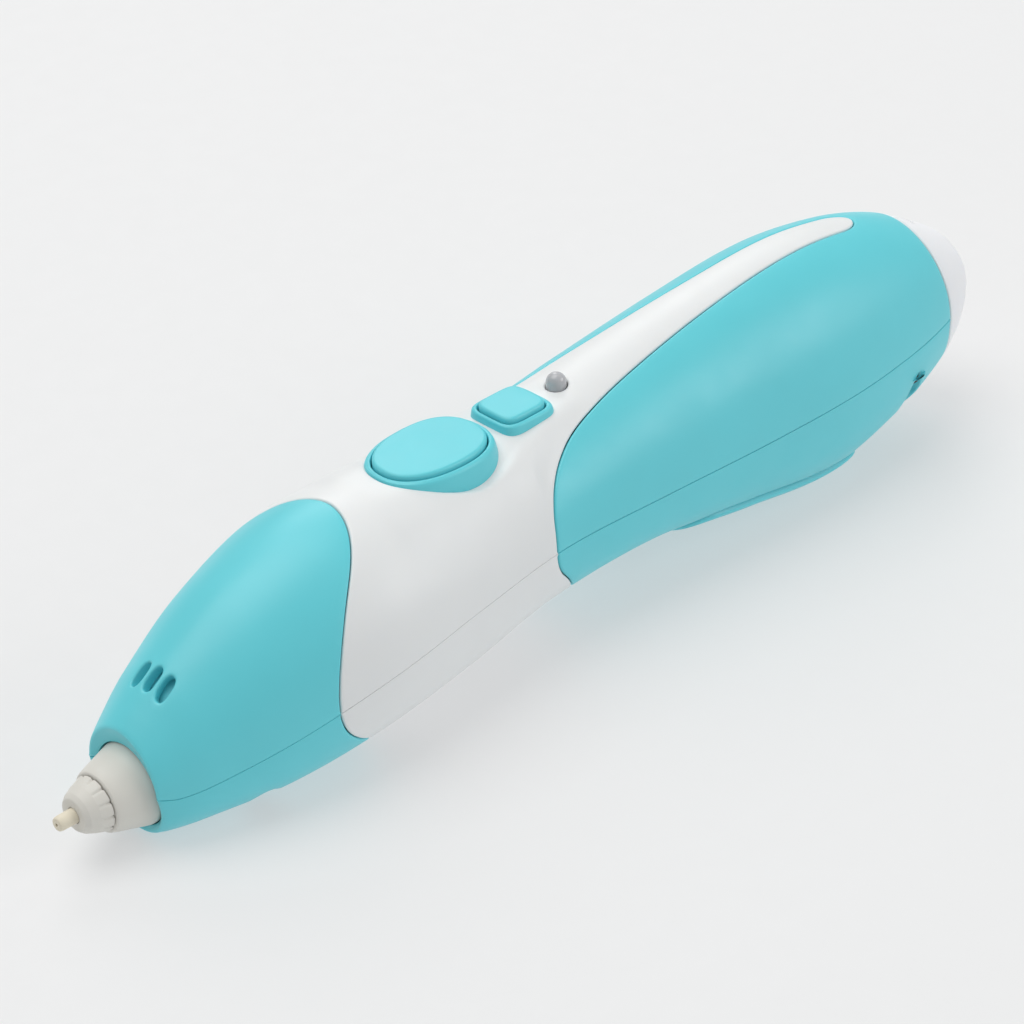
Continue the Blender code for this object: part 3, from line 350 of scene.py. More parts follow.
def moulded_panel(name, skin, outline, holes=(), spacing=0.8, fine=None, radius=None, wall=WALL,
                  seam=SEAM, lining=None):
    """A closed shell panel that follows the skin, with every edge rounded over. fine holds
    (lowest corner, highest corner, spacing) boxes that need more points, and radius(x, q) the
    rounding where it isn't EDGE; lining reshapes the inside."""
    loops = [outline] + list(holes)
    radii = [np.full(len(loop), EDGE) if radius is None else radius(loop) for loop in loops]
    gaps = [np.minimum(seam, r / 2) for r in radii]
    guard = kdtree.KDTree(sum(len(loop) for loop in loops) * 3)
    for loop in loops:
        for a, b in zip(loop, np.roll(loop, -1, 0)):
            for t in (0, 1 / 3, 2 / 3):
                guard.insert((*(a + (b - a) * t), 0), 0)
    guard.balance()

    def clearance(point):
        return guard.find((point[0], point[1], 0))[2]

    points, depths, constraints, first_loops = [], [], [], []
    for number, (loop, r, gap) in enumerate(zip(loops, radii, gaps)):
        for row, angle in enumerate(ROUNDING):
            distance = gap / 2 + r * (1 - math.cos(angle))
            moved = turned_in(loop, distance, number > 0)
            depth = r * (1 - math.sin(angle))
            if row == 0:
                start = len(points)
                constraints += [(start + i, start + (i + 1) % len(loop)) for i in range(len(loop))]
                first_loops.append(moved)
                points += list(moved)
                depths += list(depth)
                continue
            for point, far, deep in zip(moved, distance, depth):
                if clearance(point) > 0.93 * far:
                    points.append(point)
                    depths.append(deep)
    low, high = outline.min(0), outline.max(0)
    fields = [(low, high, spacing)] + list(fine or [])
    boxes = [(np.array(box[0]), np.array(box[1])) for box in fields[1:]]
    for k, (field_low, field_high, step) in enumerate(fields):
        grid = hexagonal(field_low, field_high, step)
        grid = grid[inside(grid, first_loops)]
        for point in grid:
            if k == 0 and any(np.all(point > a) and np.all(point < b) for a, b in boxes):
                continue
            if clearance(point) > seam / 2 + radii[0].max() + 0.45 * step:
                points.append(point)
                depths.append(0.0)
    made = geometry.delaunay_2d_cdt([Vector(p) for p in points], constraints, [], 0, 1e-6)
    flat = np.array([tuple(v) for v in made[0]])
    depth = np.array([depths[origin[0]] if origin else 0.0 for origin in made[3]])
    faces = np.array(made[2])
    faces = faces[inside(flat[faces].mean(1), first_loops)]
    used = np.unique(faces)
    renumber = np.zeros(len(flat), int)
    renumber[used] = np.arange(len(used))
    flat, depth, faces = flat[used], depth[used], renumber[faces]
    if skin.sign < 0:
        faces = faces[:, ::-1]
    base = skin.point(flat[:, 0], flat[:, 1])
    out = skin.normal(flat[:, 0], flat[:, 1])
    outer = base - out * depth[:, None]
    inner = base - out * wall
    if lining:
        inner = lining(inner)
    count = len(outer)
    edges = {}
    for a, b, c in faces.tolist():
        for edge in ((a, b), (b, c), (c, a)):
            edges[edge] = True
    rim = [(a, b) for a, b in edges if (b, a) not in edges]
    everything = faces.tolist() + (faces[:, ::-1] + count).tolist()
    everything += [(b, a, a + count, b + count) for a, b in rim]
    outer[:, 2] = np.maximum(outer[:, 2], 0)
    inner[:, 2] = np.maximum(inner[:, 2], 0.05)
    return make_piece(name, np.concatenate([outer, inner]), everything)


def skinned(name, rings, crease=40, joined=False):
    """A solid over a row of equal rings: its ends are filled, or joined to each other."""
    rings = [np.asarray(ring, float) for ring in rings]
    n = len(rings[0])
    points = np.concatenate(rings)
    faces = []
    pairs = list(range(len(rings) - 1))
    for k in pairs:
        for i in range(n):
            j = (i + 1) % n
            faces.append((k * n + i, k * n + j, (k + 1) * n + j, (k + 1) * n + i))
    if joined:
        last = (len(rings) - 1) * n
        faces += [(last + i, last + (i + 1) % n, (i + 1) % n, i) for i in range(n)]
    else:
        low, high = len(points), len(points) + 1
        points = np.concatenate([points, [rings[0].mean(0)], [rings[-1].mean(0)]])
        top = (len(rings) - 1) * n
        faces += [((i + 1) % n, i, low) for i in range(n)]
        faces += [(top + i, top + (i + 1) % n, high) for i in range(n)]
    piece = make_piece(name, points, faces, crease)
    return outward(piece)


def outward(piece):
    """Turn a closed mesh's faces so that they face out."""
    import bmesh
    bm = bmesh.new()
    bm.from_mesh(piece.data)
    bmesh.ops.recalc_face_normals(bm, faces=bm.faces)
    bm.to_mesh(piece.data)
    bm.free()
    return piece


def filleted(profile, steps=5):
    """A profile line of (u, v, corner radius) with each corner rounded."""
    profile = [np.array(p, float) for p in profile]
    made = [profile[0][:2]]
    for before, corner, after in zip(profile, profile[1:], profile[2:]):
        here, radius = corner[:2], corner[2]
        a, b = before[:2] - here, after[:2] - here
        la, lb = np.linalg.norm(a), np.linalg.norm(b)
        a, b = a / la, b / lb
        half = math.acos(np.clip(a @ b, -1, 1)) / 2
        reach = min(radius / max(math.tan(half), 1e-6), 0.49 * la, 0.49 * lb)
        if radius <= 0 or half > 1.55:
            made.append(here)
            continue
        start, end = here + a * reach, here + b * reach
        for t in np.linspace(0, 1, steps):
            made.append((1 - t) ** 2 * start + 2 * t * (1 - t) * here + t ** 2 * end)
    made.append(profile[-1][:2])
    return made


def round_ring(x, radius, segments=96, flutes=0, depth=0.0):
    angle = TURN * np.arange(segments) / segments
    r = radius - depth * np.clip(np.cos(flutes * angle), 0, 1) ** 5
    return np.stack([np.full(segments, x), r * np.cos(angle), NOZZLE_Z + r * np.sin(angle)], 1)


def upright_ring(x, y, z, radius, segments=64):
    angle = TURN * np.arange(segments) / segments
    return np.stack([x + radius * np.cos(angle), y + radius * np.sin(angle),
                     np.full(segments, z)], 1)


# ---- materials -------------------------------------------------------------------------------

def moulded(name, colour, roughness, shade=0.04, grain=0.012, grain_size=0.35, subsurface=0.0,
            scatter=0.0008, coat=0.0, metallic=0.0, transmission=0.0):
    """A moulded surface: a faint cloudy tint, a slightly uneven gloss and a fine grain."""
    material = bpy.data.materials.new(name)
    material.use_nodes = True
    nodes, links = material.node_tree.nodes, material.node_tree.links
    shader = nodes["Principled BSDF"]
    place = nodes.new("ShaderNodeTexCoord")

    def noise(size, detail):
        node = nodes.new("ShaderNodeTexNoise")
        node.inputs["Scale"].default_value = 1 / (size * MM)
        node.inputs["Detail"].default_value = detail
        node.inputs["Roughness"].default_value = 0.55
        links.new(place.outputs["Object"], node.inputs["Vector"])
        return node.outputs["Fac"]

    tint = nodes.new("ShaderNodeMix")
    tint.data_type = "RGBA"
    darker = [c * (1 - shade) for c in colour]
    lighter = [min(c * (1 + shade), 0.95) for c in colour]
    tint.inputs["A"].default_value = (*darker, 1)
    tint.inputs["B"].default_value = (*lighter, 1)
    links.new(noise(14, 3), tint.inputs["Factor"])
    links.new(tint.outputs["Result"], shader.inputs["Base Color"])

    gloss = nodes.new("ShaderNodeMapRange")
    gloss.inputs["From Min"].default_value = 0.3
    gloss.inputs["From Max"].default_value = 0.7
    gloss.inputs["To Min"].default_value = roughness - 0.04
    gloss.inputs["To Max"].default_value = roughness + 0.05
    links.new(noise(5, 4), gloss.inputs["Value"])
    links.new(gloss.outputs["Result"], shader.inputs["Roughness"])

    bump = nodes.new("ShaderNodeBump")
    bump.inputs["Strength"].default_value = 0.35
    bump.inputs["Distance"].default_value = grain * MM
    links.new(noise(grain_size, 2), bump.inputs["Height"])
    links.new(bump.outputs["Normal"], shader.inputs["Normal"])

    shader.inputs["Metallic"].default_value = metallic
    shader.inputs["Coat Weight"].default_value = coat
    shader.inputs["Coat Roughness"].default_value = 0.2
    shader.inputs["Subsurface Weight"].default_value = subsurface
    shader.inputs["Subsurface Radius"].default_value = (1.0, 0.9, 0.8)
    shader.inputs["Subsurface Scale"].default_value = scatter
    shader.inputs["Transmission Weight"].default_value = transmission
    return material


TEAL = moulded("teal_plastic", (0.13, 0.64, 0.72), 0.40, subsurface=0.10)
WHITE = moulded("white_plastic", (0.79, 0.81, 0.815), 0.42, shade=0.015, subsurface=0.15)
TAIL = moulded("tail_plastic", (0.89, 0.90, 0.93), 0.36, shade=0.015, subsurface=0.5, scatter=0.003)
NOZZLE = moulded("nozzle_plastic", (0.69, 0.675, 0.625), 0.52, shade=0.03, grain=0.02,
                 subsurface=0.08)
TIP = moulded("tip_ceramic", (0.76, 0.70, 0.56), 0.50, shade=0.07, grain=0.02, grain_size=0.2)
HEATER = moulded("heater_ceramic", (0.80, 0.78, 0.72), 0.55, shade=0.06)
BLACK = moulded("black_plastic", (0.035, 0.036, 0.04), 0.5, shade=0.2)
TUBE = moulded("feed_tube", (0.78, 0.80, 0.80), 0.32, subsurface=0.4, scatter=0.001)
LAMP = moulded("lamp_lens", (0.47, 0.48, 0.50), 0.2, shade=0.03, grain=0.003, subsurface=0.2,
               scatter=0.0015, coat=0.3)
BOARD = moulded("circuit_board", (0.03, 0.22, 0.10), 0.42, shade=0.2, grain_size=0.8)
BRASS = moulded("turned_brass", (0.75, 0.55, 0.24), 0.3, shade=0.08, metallic=1.0)
STEEL = moulded("plated_steel", (0.56, 0.57, 0.59), 0.3, shade=0.06, metallic=1.0)
# Painted shade: the case screws get a near-black steel so that the screw wells read dark.
SCREWS_PAINTED_SHADE = moulded("screw_steel_painted_shade", (0.07, 0.07, 0.075), 0.42, shade=0.1, metallic=1.0)
CELL = moulded("cell_wrap", (0.10, 0.24, 0.52), 0.38, shade=0.06)

SLOT_MATERIAL = {
    "teal": TEAL, "white": WHITE, "tail_white": TAIL, "nozzle": NOZZLE, "ceramic": HEATER,
    "black": BLACK, "tube": TUBE, "lamp": LAMP, "board": BOARD, "brass": BRASS, "steel": STEEL,
    "cell": CELL,
}


NODE_SLOT = {part["node"]: part["material_slot"] for part in frame["record"]["subparts"]}
for node, obj in frame["nodes"].items():
    obj.data.materials.clear()
    # the case screws take the near-black steel, painted shade in their wells
    obj.data.materials.append(SCREWS_PAINTED_SHADE if "_screw_" in node else SLOT_MATERIAL[NODE_SLOT[node]])


def fit(piece, material, body, *nodes):
    """Give a piece its finish, the body it rides on and the nodes that it stands for."""
    piece.data.materials.clear()
    piece.data.materials.append(material)
    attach(piece, body)
    if nodes:
        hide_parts(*nodes)
    return piece


# ---- case panels -----------------------------------------------------------------------------

# The deck round the buttons: how far its shoulders are raised, the middle of the bay's floor and
# the bay's half width, each by x.
SHOULDER = ((52.0, 0.0), (58.0, 0.9), (62.5, 1.2), (68.0, 1.3), (74.0, 1.5), (80.0, 1.6), (86.0, 1.2),
            (91.0, 0.4), (95.0, 0.0))
BAY_FLOOR = ((58.0, 34.2), (64.0, 33.1), (70.0, 32.8), (76.0, 33.0), (80.0, 33.7), (86.0, 34.0),
             (91.0, 34.1), (96.0, 34.9))
BAY_EDGE = ((59.0, 1.0), (62.0, 5.0), (66.0, 7.4), (71.0, 8.7), (75.8, 7.6), (80.5, 6.2), (85.6, 4.6),
            (90.2, 3.2), (96.0, 2.2))
BAY_FALL = 0.03


def with_bay(points):
    """Raise the deck's shoulders and sink a shallow bay between them for the buttons."""
    x, y, z = points.T
    across = np.abs(y)
    rise = curve_through(SHOULDER, x) * smooth_step(51, 56, x) * smooth_step(96, 92, x)
    outer = curve_through(SPINE_EDGE, x)
    fade = smooth_step(outer, outer * 0.6, across)
    z = z + rise * (0.45 + 0.55 * smooth_step(0, 5.5, across)) * fade
    edge = curve_through(BAY_EDGE, x)
    sunk = smooth_step(-0.9, 1.1, edge - across) * smooth_step(59, 62, x) * smooth_step(96, 92, x)
    over = z - curve_through(BAY_FLOOR, x) + BAY_FALL * y ** 2
    over = (over + np.sqrt(over ** 2 + 0.35 ** 2)) / 2
    return np.stack([x, y, z - sunk * over], 1)


UPPER = Skin(True)
LOWER = Skin(False)
DECK = Skin(True, shape=with_bay)
COVER_PROUD = 0.55
COVER = Skin(False, swell=COVER_PROUD)


def edge_radius(skin, parting_radius):
    """How far each edge is rounded: the mouth has a full lip and the parting line a fine one."""
    def radius(loop):
        x, q = loop.T
        on_parting = np.abs(np.abs(q) - skin.span(x)) < 0.03
        made = np.where(on_parting, parting_radius, EDGE)
        return np.where((x < CASE_FRONT + MOUTH_BOW + 0.05) & (~on_parting | (x < CASE_FRONT + 0.05)), LIP,
                        made)
    return radius


def round_mouth(points):
    """The nose's inside narrows to a round mouth that just clears the collar."""
    x, y, z = points.T
    radius = np.hypot(y, z - NOZZLE_Z)
    share = smooth_step(16.5, 13.5, x)
    scale = 1 + (MOUTH_R / radius - 1) * share
    return np.stack([x, y * scale, NOZZLE_Z + (z - NOZZLE_Z) * scale], 1)


VENT_X = 17.8
SCREEN_GAP = 0.8
SCREEN_WALL = 0.7


def make_nose():
    ends = UPPER.break_line(NOSE_BREAK_TOP)
    outline = closed(UPPER.ring_edge(CASE_FRONT, 1), UPPER.parting_edge(CASE_FRONT, ends[0, 0], 1),
                     ends, UPPER.parting_edge(ends[-1, 0], CASE_FRONT, -1))
    vents = [closed(UPPER.plan(oval(VENT_X, 1.5, 0.82, 2.6, count=60, centre_y=side * 2.5)), step=0.2)
             for side in (-1, 0, 1)]
    upper = moulded_panel("nose_upper_shell", UPPER, outline, vents, wall=NOSE_WALL, lining=round_mouth,
                          radius=edge_radius(UPPER, FINE_EDGE),
                          fine=[((11.2, -6.5), (21.5, 6.5), 0.35)])
    fit(upper, TEAL, "pen_body", "nose_cover_upper")

    under = Skin(True, swell=-NOSE_WALL - SCREEN_GAP)
    outline = closed(under.plan(oval(VENT_X, 3.2, 4.4, 2.6, count=60)), step=0.4)
    screen = moulded_panel("vent_screen", under, outline, wall=SCREEN_WALL)
    fit(screen, TEAL, "pen_body")

    ends = LOWER.break_line(NOSE_BREAK_BOTTOM)
    outline = closed(LOWER.ring_edge(CASE_FRONT, 1, MOUTH_BOW),
                     LOWER.parting_edge(CASE_FRONT, ends[0, 0], 1),
                     ends, LOWER.parting_edge(ends[-1, 0], CASE_FRONT, -1))
    lower = moulded_panel("nose_lower_shell", LOWER, outline, screw_holes(LOWER, "nose"),
                          radius=edge_radius(LOWER, FINE_EDGE), wall=NOSE_WALL, lining=round_mouth)
    fit(lower, TEAL, "pen_body", "nose_cover_lower")


SCREW_PLACES = {"nose": (27.5, 9.0, 5.2), "middle": (50.0, 11.5, 8.0), "rear": (155.4, 12.0, 13.6)}
WELL_R = 2.2


def screw_holes(skin, pair):
    x, spacing, _ = SCREW_PLACES[pair]
    angle = TURN * np.arange(48) / 48
    made = []
    for side in (-1, 1):
        ring = np.stack([x + WELL_R * np.cos(angle), side * spacing + WELL_R * np.sin(angle)], 1)
        made.append(closed(skin.plan(ring), step=0.25))
    return made


def make_housings():
    front = DECK.break_line(NOSE_BREAK_TOP)
    flank = line_through(((79.1, float(UPPER.size(79.1)[0])),) + SPINE_EDGE[1:])
    end_radius = flank[-1, 1]
    bend = np.linspace(0, HALF_TURN, 40)[1:-1]
    round_end = np.stack([flank[-1, 0] + (SPINE_END - flank[-1, 0]) * np.sin(bend),
                          end_radius * np.cos(bend)], 1)
    edge = np.concatenate([flank, round_end, flank[::-1] * (1, -1)])
    edge = DECK.plan(edge)
    start = front[0, 0]
    outline = closed(front[::-1], DECK.parting_edge(start, edge[0, 0], 1), edge,
                     DECK.parting_edge(edge[-1, 0], start, -1))
    holes = [closed(DECK.plan(oval(FEED_X, 9.6, 7.1, 2.3, -0.06))),
             closed(DECK.plan(oval(POWER_X, 4.4, 4.1, 4.5))),
             closed(DECK.plan(oval(LAMP_X, LAMP_R + 0.06, LAMP_R + 0.06)), step=0.2)]
    upper = moulded_panel("middle_upper_shell", DECK, outline, holes,
                          radius=edge_radius(DECK, FINE_EDGE),
                          fine=[((51.0, -12.0), (103.0, 12.0), 0.45)])
    fit(upper, WHITE, "pen_body", "upper_housing")

    rear_outline = closed(edge[::-1], UPPER.parting_edge(edge[0, 0], CASE_BACK, 1),
                          UPPER.ring_edge(CASE_BACK, -1),
                          UPPER.parting_edge(CASE_BACK, edge[-1, 0], -1))
    rear = moulded_panel("rear_upper_shell", UPPER, rear_outline, radius=edge_radius(UPPER, REAR_EDGE))
    fit(rear, TEAL, "pen_body", "rear_cover_upper")

    front = LOWER.break_line(NOSE_BREAK_BOTTOM)
    back = LOWER.break_line(REAR_BREAK_BOTTOM)
    outline = closed(front[::-1], LOWER.parting_edge(front[0, 0], back[0, 0], 1), back,
                     LOWER.parting_edge(back[-1, 0], front[-1, 0], -1))
    lower = moulded_panel("middle_lower_shell", LOWER, outline, screw_holes(LOWER, "middle"),
                          radius=edge_radius(LOWER, FINE_EDGE))
    fit(lower, WHITE, "pen_body", "lower_housing")

    outline = closed(back[::-1], LOWER.parting_edge(back[0, 0], CASE_BACK, 1),
                     LOWER.ring_edge(CASE_BACK, -1), LOWER.parting_edge(CASE_BACK, back[-1, 0], -1))
    belly = closed(LOWER.plan(oval(127.5, 20.5, 12.6, 5.0, count=240)))
    lower = moulded_panel("rear_lower_shell", LOWER, outline, [belly] + screw_holes(LOWER, "rear"),
                          radius=edge_radius(LOWER, REAR_EDGE))
    fit(lower, TEAL, "pen_body", "rear_cover_lower")

    belly = closed(COVER.plan(oval(127.5, 20.5, 12.6, 5.0, count=240)))
    cover = moulded_panel("battery_door", COVER, belly, radius=lambda loop: np.full(len(loop), 0.5),
                          wall=WALL + COVER_PROUD)
    fit(cover, TEAL, "pen_body", "battery_cover")


def make_tail():
    """The dome that closes the tail, rolled over at its front edge and rounded to its end."""
    count = 128
    angle = TURN * np.arange(count) / count
    c, s = np.cos(angle), np.sin(angle)

    def ring(x, inset=0.0):
        width = station(1, x) * WIDTH_FIT - inset
        middle = parting(x)
        upper, lower = station(2, x) - middle - inset, middle - station(4, x) - inset
        power = np.where(s >= 0, 2 / TOP_ROUNDNESS, 2 / BELLY_ROUNDNESS)
        height = np.where(s >= 0, upper, lower)
        return np.stack([np.full(count, float(x)),
                         width * np.copysign(np.abs(c) ** power, c),
                         middle + height * np.copysign(np.abs(s) ** power, s)], 1)

    front = CASE_BACK + SEAM
    rings = [ring(front + EDGE * (1 - math.cos(a)), EDGE * (1 - math.sin(a))) for a in ROUNDING]
    rings += [ring(x) for x in np.linspace(front + 0.8, 176.2, 40)]
    last = ring(176.2)
    centre = last.mean(0)
    for share in (0.25, 0.5, 0.72, 0.88, 0.97):
        closing = math.sqrt(1 - share ** 2)
        end = centre + (last - centre) * closing
        end[:, 0] = 176.2 + (LENGTH - 0.02 - 176.2) * share
        rings.append(end)
    inner = [ring(x, WALL) for x in np.linspace(174.0, front, 20)]
    nub = inner[0].mean(0)
    shell = rings + [nub + (inner[0] - nub) * share for share in (0.02, 0.5)] + inner
    # the outer end and the inner end are both closed by a small fan
    outer_count = len(rings)
    points = np.concatenate(shell)
    faces = []
    n = count
    for k in range(len(shell) - 1):
        if k == outer_count - 1:
            continue
        for i in range(n):
            j = (i + 1) % n
            faces.append((k * n + i, k * n + j, (k + 1) * n + j, (k + 1) * n + i))
    last_ring = (len(shell) - 1) * n
    faces += [(last_ring + i, last_ring + (i + 1) % n, (i + 1) % n, i) for i in range(n)]
    outer_end = (outer_count - 1) * n
    inner_end = outer_count * n
    points = np.concatenate([points, [shell[outer_count - 1].mean(0) + (0.01, 0, 0)],
                             [shell[outer_count].mean(0)]])
    total = len(points)
    faces += [(outer_end + i, outer_end + (i + 1) % n, total - 2) for i in range(n)]
    faces += [(inner_end + (i + 1) % n, inner_end + i, total - 1) for i in range(n)]
    dome = outward(make_piece("tail_dome", points, faces))

    inlet_z = (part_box("inlet_tube")[0].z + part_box("inlet_tube")[1].z) / 2 / MM
    socket_low, socket_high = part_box("charge_socket")
    inlet_z = 18.5
    bore = skinned("inlet_bore", [np.stack([np.full(64, x),
                                            r * np.cos(TURN * np.arange(64) / 64),
                                            inlet_z + r * np.sin(TURN * np.arange(64) / 64)], 1)
                                  for x, r in ((165, 1.9), (176.2, 1.9), (178, 2.9))])
    y_half = socket_high.y / MM + 0.4
    z_low, z_high = socket_low.z / MM - 0.3, socket_high.z / MM + 0.3
    mouth = skinned("socket_mouth", [rounded_slot(x, y_half, z_low, z_high, 1.3)
                                     for x in (167.5, 180)])
    slit = skinned("dome_slit", [oval_across(z) for z in (27, 36)])
    for cutter in (bore, mouth, slit):
        modifier = dome.modifiers.new(cutter.name, "BOOLEAN")
        modifier.operation = "DIFFERENCE"
        modifier.solver = "EXACT"
        modifier.object = cutter
    apply_modifiers(dome)
    for cutter in (bore, mouth, slit):
        bpy.data.objects.remove(cutter, do_unlink=True)
    dome.data.shade_smooth()
    dome.data.set_sharp_from_angle(angle=math.radians(40))
    fit(dome, TAIL, "pen_body", "tail_cap")


def oval_across(z):
    """A short slit's outline at a height, on top of the tail dome."""
    outline = oval(168.6, 0.28, 1.5, 2.4, count=32)
    return np.concatenate([outline, np.full((len(outline), 1), float(z))], 1)


def rounded_slot(x, half_y, low, high, radius):
    """A rounded rectangle across the pen at x."""
    points = []
    for cy, cz, start in ((half_y - radius, high - radius, 0), (-half_y + radius, high - radius, 1),
                          (-half_y + radius, low + radius, 2), (half_y - radius, low + radius, 3)):
        for t in np.linspace(0, 1, 9):
            a = (start + t) * HALF_TURN / 2
            points.append((x, cy + radius * math.cos(a), cz + radius * math.sin(a)))
    return np.array(points)


def apply_modifiers(piece):
    bpy.context.view_layer.update()
    depsgraph = bpy.context.evaluated_depsgraph_get()
    mesh = bpy.data.meshes.new_from_object(piece.evaluated_get(depsgraph))
    piece.modifiers.clear()
    piece.data = mesh


# ---- buttons and lamp ------------------------------------------------------------------------

def surface_z(x, y):
    """The deck's height under a plan point."""
    x, y = np.asarray(x, float), np.asarray(y, float)
    return DECK.point(x, DECK.q_at_y(x, y))[:, 2]


def make_button(label, centre_x, half, roundness, narrowing, brim, crown):
    def plan(grow):
        return oval(centre_x, half[0] + grow, half[1] + grow, roundness, narrowing, count=160)

    def ring(grow, z):
        outline = plan(grow)
        return np.concatenate([outline, np.full((len(outline), 1), float(z))], 1)

    top = BUTTON_TOP
    rings = [ring(0.8, 28.7), ring(0.8, 29.6), ring(0, 29.6), ring(0, top - 1.3)]
    edge = 0.5
    for angle in np.radians((15, 30, 45, 60, 75, 90)):
        rings.append(ring(-edge * (1 - math.cos(angle)), top - crown - edge * (1 - math.sin(angle))))
    outline = plan(-edge)
    centre = np.array([centre_x, 0.0])
    for share in (0.9, 0.75, 0.55, 0.35, 0.15):
        flat = centre + (outline - centre) * share
        z = top - crown * share ** 2
        rings.append(np.concatenate([flat, np.full((len(flat), 1), z)], 1))
    cap = skinned(label + "_cap", rings)
    fit(cap, TEAL, label + "_button", label + "_button")

    inner, outer = plan(0.2), plan(0.75)
    skirt = oval(centre_x + brim[2], half[0] + brim[0], half[1] + brim[1], roundness, narrowing,
                 count=160)
    lip_top = top - 0.8
    low = surface_z(skirt[:, 0], skirt[:, 1])
    rows = [np.concatenate([inner, np.full((len(inner), 1), 30.2)], 1)]

    def between(share, bulge, depth):
        """A row of the skirt between its lip and its foot on the deck."""
        flat = outer + (skirt - outer) * share
        z = lip_top - 0.2 + (low - 0.25 - lip_top + 0.2) * depth + bulge
        return np.concatenate([flat, z[:, None]], 1)

    for grow, z in ((0.2, lip_top - 0.3), (0.23, lip_top - 0.12), (0.33, lip_top - 0.02),
                    (0.46, lip_top), (0.62, lip_top - 0.06)):
        flat = plan(grow)
        rows.append(np.concatenate([flat, np.full((len(flat), 1), z)], 1))
    for share in (0.15, 0.3, 0.45, 0.6, 0.75, 0.87, 0.95, 1.0):
        rows.append(between(share, 0.12 * math.sin(HALF_TURN * share), share ** 1.7))
    foot = np.concatenate([skirt, (low - 0.6)[:, None]], 1)
    under = np.concatenate([outer, (np.minimum(low.min(), 31.0) - 0.9 + 0 * low)[:, None]], 1)
    under_in = np.concatenate([inner, np.full((len(inner), 1), 30.2)], 1)
    rows += [foot, under]
    del under_in
    bezel = skinned(label + "_rim", rows, joined=True)
    fit(bezel, TEAL, "pen_body", label + "_bezel")


def make_lamp():
    profile = [(28.6, 0.01), (28.6, 1.9), (29.8, 1.9), (29.8, LAMP_R)]
    profile += [(LAMP_TOP - LAMP_R + LAMP_R * math.sin(a), LAMP_R * math.cos(a))
                for a in np.linspace(0, HALF_TURN / 2, 20)[:-1]]
    rings = [upright_ring(LAMP_X, 0, z, r) for z, r in profile]
    rings.append(upright_ring(LAMP_X, 0, LAMP_TOP - 0.002, 0.05))
    fit(skinned("lamp_dome", rings), LAMP, "pen_body", "status_led")


# ---- nozzle ----------------------------------------------------------------------------------

def lathe(name, profile, **options):
    rings = [round_ring(x, max(r, 0.01), **options) for x, r in filleted(profile)]
    return skinned(name, rings, joined=True)


def make_nozzle():
    collar = lathe("collar", [(6.7, 3.2, 0), (6.7, 4.45, 0.45), (7.6, 4.78, 0.5),
                              (12.5, 6.18, 0.5), (13.4, 6.15, 0.4), (16.0, 5.8, 0.2), (16.0, 3.2, 0)])
    fit(collar, NOZZLE, "pen_body", "nozzle_collar")

    rows = filleted([(2.85, 1.2, 0), (2.85, 2.45, 0.4), (3.5, 2.98, 0.5), (4.8, 3.55, 0.8),
                     (6.5, 4.08, 0.0), (6.5, 1.68, 0), (3.4, 1.68, 0)], 9)
    rings = [round_ring(x, r, segments=192, flutes=12,
                        depth=0.32 * float(smooth_step(5.3, 6.4, x)) if r > 2.4 else 0.0)
             for x, r in rows]
    fit(skinned("guard", rings, joined=True), NOZZLE, "pen_body", "nozzle_guard")

    tip = lathe("tip", [(0.0, 0.25, 0), (0.0, 0.98, 0.3), (0.6, 1.08, 0.3), (3.0, 1.12, 0.3),
                        (3.6, 1.6, 0.2), (9.0, 1.6, 0), (9.0, 0.9, 0), (2.0, 0.9, 0), (1.4, 0.25, 0)])
    fit(tip, TIP, "pen_body", "nozzle_tip")


def make_wells():
    """The teal or white cups in which the case screws sit."""
    for pair, (x, spacing, seat) in SCREW_PLACES.items():
        for label, side in (("left", -1), ("right", 1)):
            y = side * spacing
            angle = TURN * np.arange(64) / 64
            rows = []
            for radius, rise in ((WELL_R - 0.02, 0.5), (WELL_R - 0.02, None), (WELL_R + 0.6, None),
                                 (WELL_R + 0.6, 0.9)):
                px, py = x + radius * np.cos(angle), y + radius * np.sin(angle)
                q = LOWER.q_at_y(px, py)
                z = np.full(64, seat + 0.3) if rise is None else LOWER.point(px, q)[:, 2] + rise
                rows.append(np.stack([px, py, np.minimum(z, seat + 0.3)], 1))
            cup = skinned(f"{pair}_well_{label}", rows, joined=True)
            fit(cup, WHITE if pair == "middle" else TEAL, "pen_body")


make_nose()
make_housings()
make_tail()
make_button("feed", FEED_X, (8.7, 6.15), 2.3, -0.06, (1.15, 1.55, 0.2), 0.12)
make_button("power", POWER_X, (3.95, 3.65), 4.5, 0.0, (1.0, 1.1, 0.1), 0.08)
make_lamp()
make_nozzle()
make_wells()


# ---- floor, light and camera -----------------------------------------------------------------

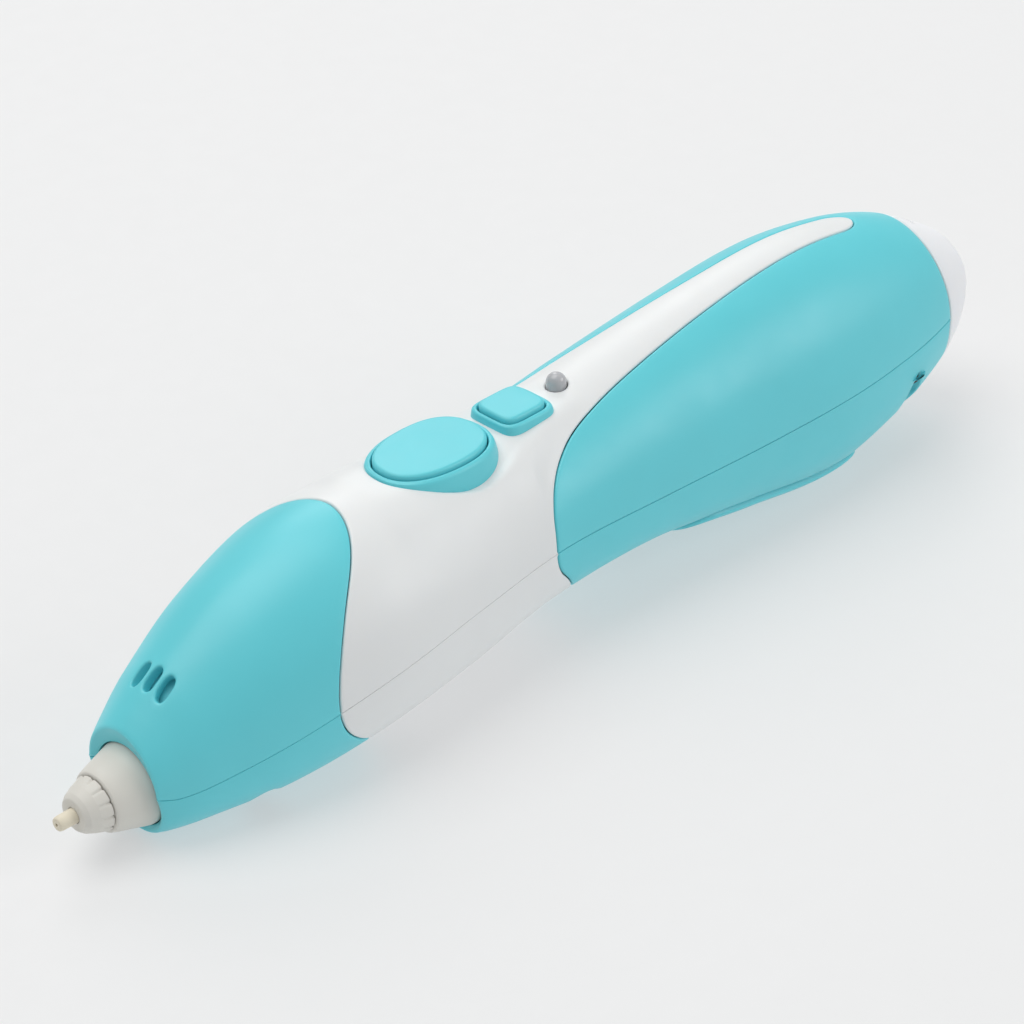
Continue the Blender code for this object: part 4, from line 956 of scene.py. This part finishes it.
def make_floor():
    mesh = bpy.data.meshes.new("floor")
    half = 3.0
    mesh.from_pydata([(-half, -half, 0), (half, -half, 0), (half, half, 0), (-half, half, 0)], [],
                     [(0, 1, 2, 3)])
    floor = bpy.data.objects.new("floor", mesh)
    bpy.context.scene.collection.objects.link(floor)
    floor.location.z = -0.0002
    card = moulded("floor_card", (0.36, 0.36, 0.36), 0.7, shade=0.004, grain=0.004)
    shader = card.node_tree.nodes["Principled BSDF"]
    shader.inputs["Emission Color"].default_value = (0.98, 0.99, 1.0, 1)
    shader.inputs["Emission Strength"].default_value = 0.45
    mesh.materials.append(card)


def add_light(name, place, size, power, colour=(1, 1, 1)):
    data = bpy.data.lights.new(name, "AREA")
    data.shape = "DISK"
    data.size = size
    data.energy = power
    data.color = colour
    light = bpy.data.objects.new(name, data)
    light.location = place
    light.rotation_mode = "QUATERNION"
    light.rotation_quaternion = (-Vector(place)).to_track_quat("-Z", "Y")
    bpy.context.scene.collection.objects.link(light)


def make_studio():
    make_floor()
    world = bpy.data.worlds.new("studio")
    world.use_nodes = True
    background = world.node_tree.nodes["Background"]
    background.inputs["Color"].default_value = (0.98, 0.99, 1.0, 1)
    background.inputs["Strength"].default_value = 0.39
    bpy.context.scene.world = world
    add_light("key", (-0.4, 0.6, 2.4), 2.4, 38.0, (1.0, 0.985, 0.96))
    add_light("back", (1.0, 1.4, 1.3), 1.2, 9.0)
    add_light("fill", (1.6, -1.9, 1.2), 1.4, 19.0)
    bpy.context.scene.view_settings.view_transform = "Standard"


def make_camera():
    """The view from the front left and above, from which the pen is best known."""
    azimuth, elevation, roll = math.radians(43.03), math.radians(32.84), math.radians(-2.06)
    forward = Vector((math.sin(azimuth) * math.cos(elevation),
                      math.cos(azimuth) * math.cos(elevation), -math.sin(elevation)))
    right = Vector((math.cos(azimuth), -math.sin(azimuth), 0))
    up = right.cross(forward)
    turned_right = right * math.cos(roll) + up * math.sin(roll)
    turned_up = up * math.cos(roll) - right * math.sin(roll)
    data = bpy.data.cameras.new("camera")
    data.lens = 133.78
    data.sensor_width = 36.0
    data.clip_start = 0.01
    camera = bpy.data.objects.new("camera", data)
    axes = Matrix((turned_right, turned_up, -forward)).transposed().to_4x4()
    camera.matrix_world = Matrix.Translation((-0.3155, -0.3328, 0.3110)) @ axes
    bpy.context.scene.collection.objects.link(camera)
    bpy.context.scene.camera = camera


make_studio()
make_camera()

import json
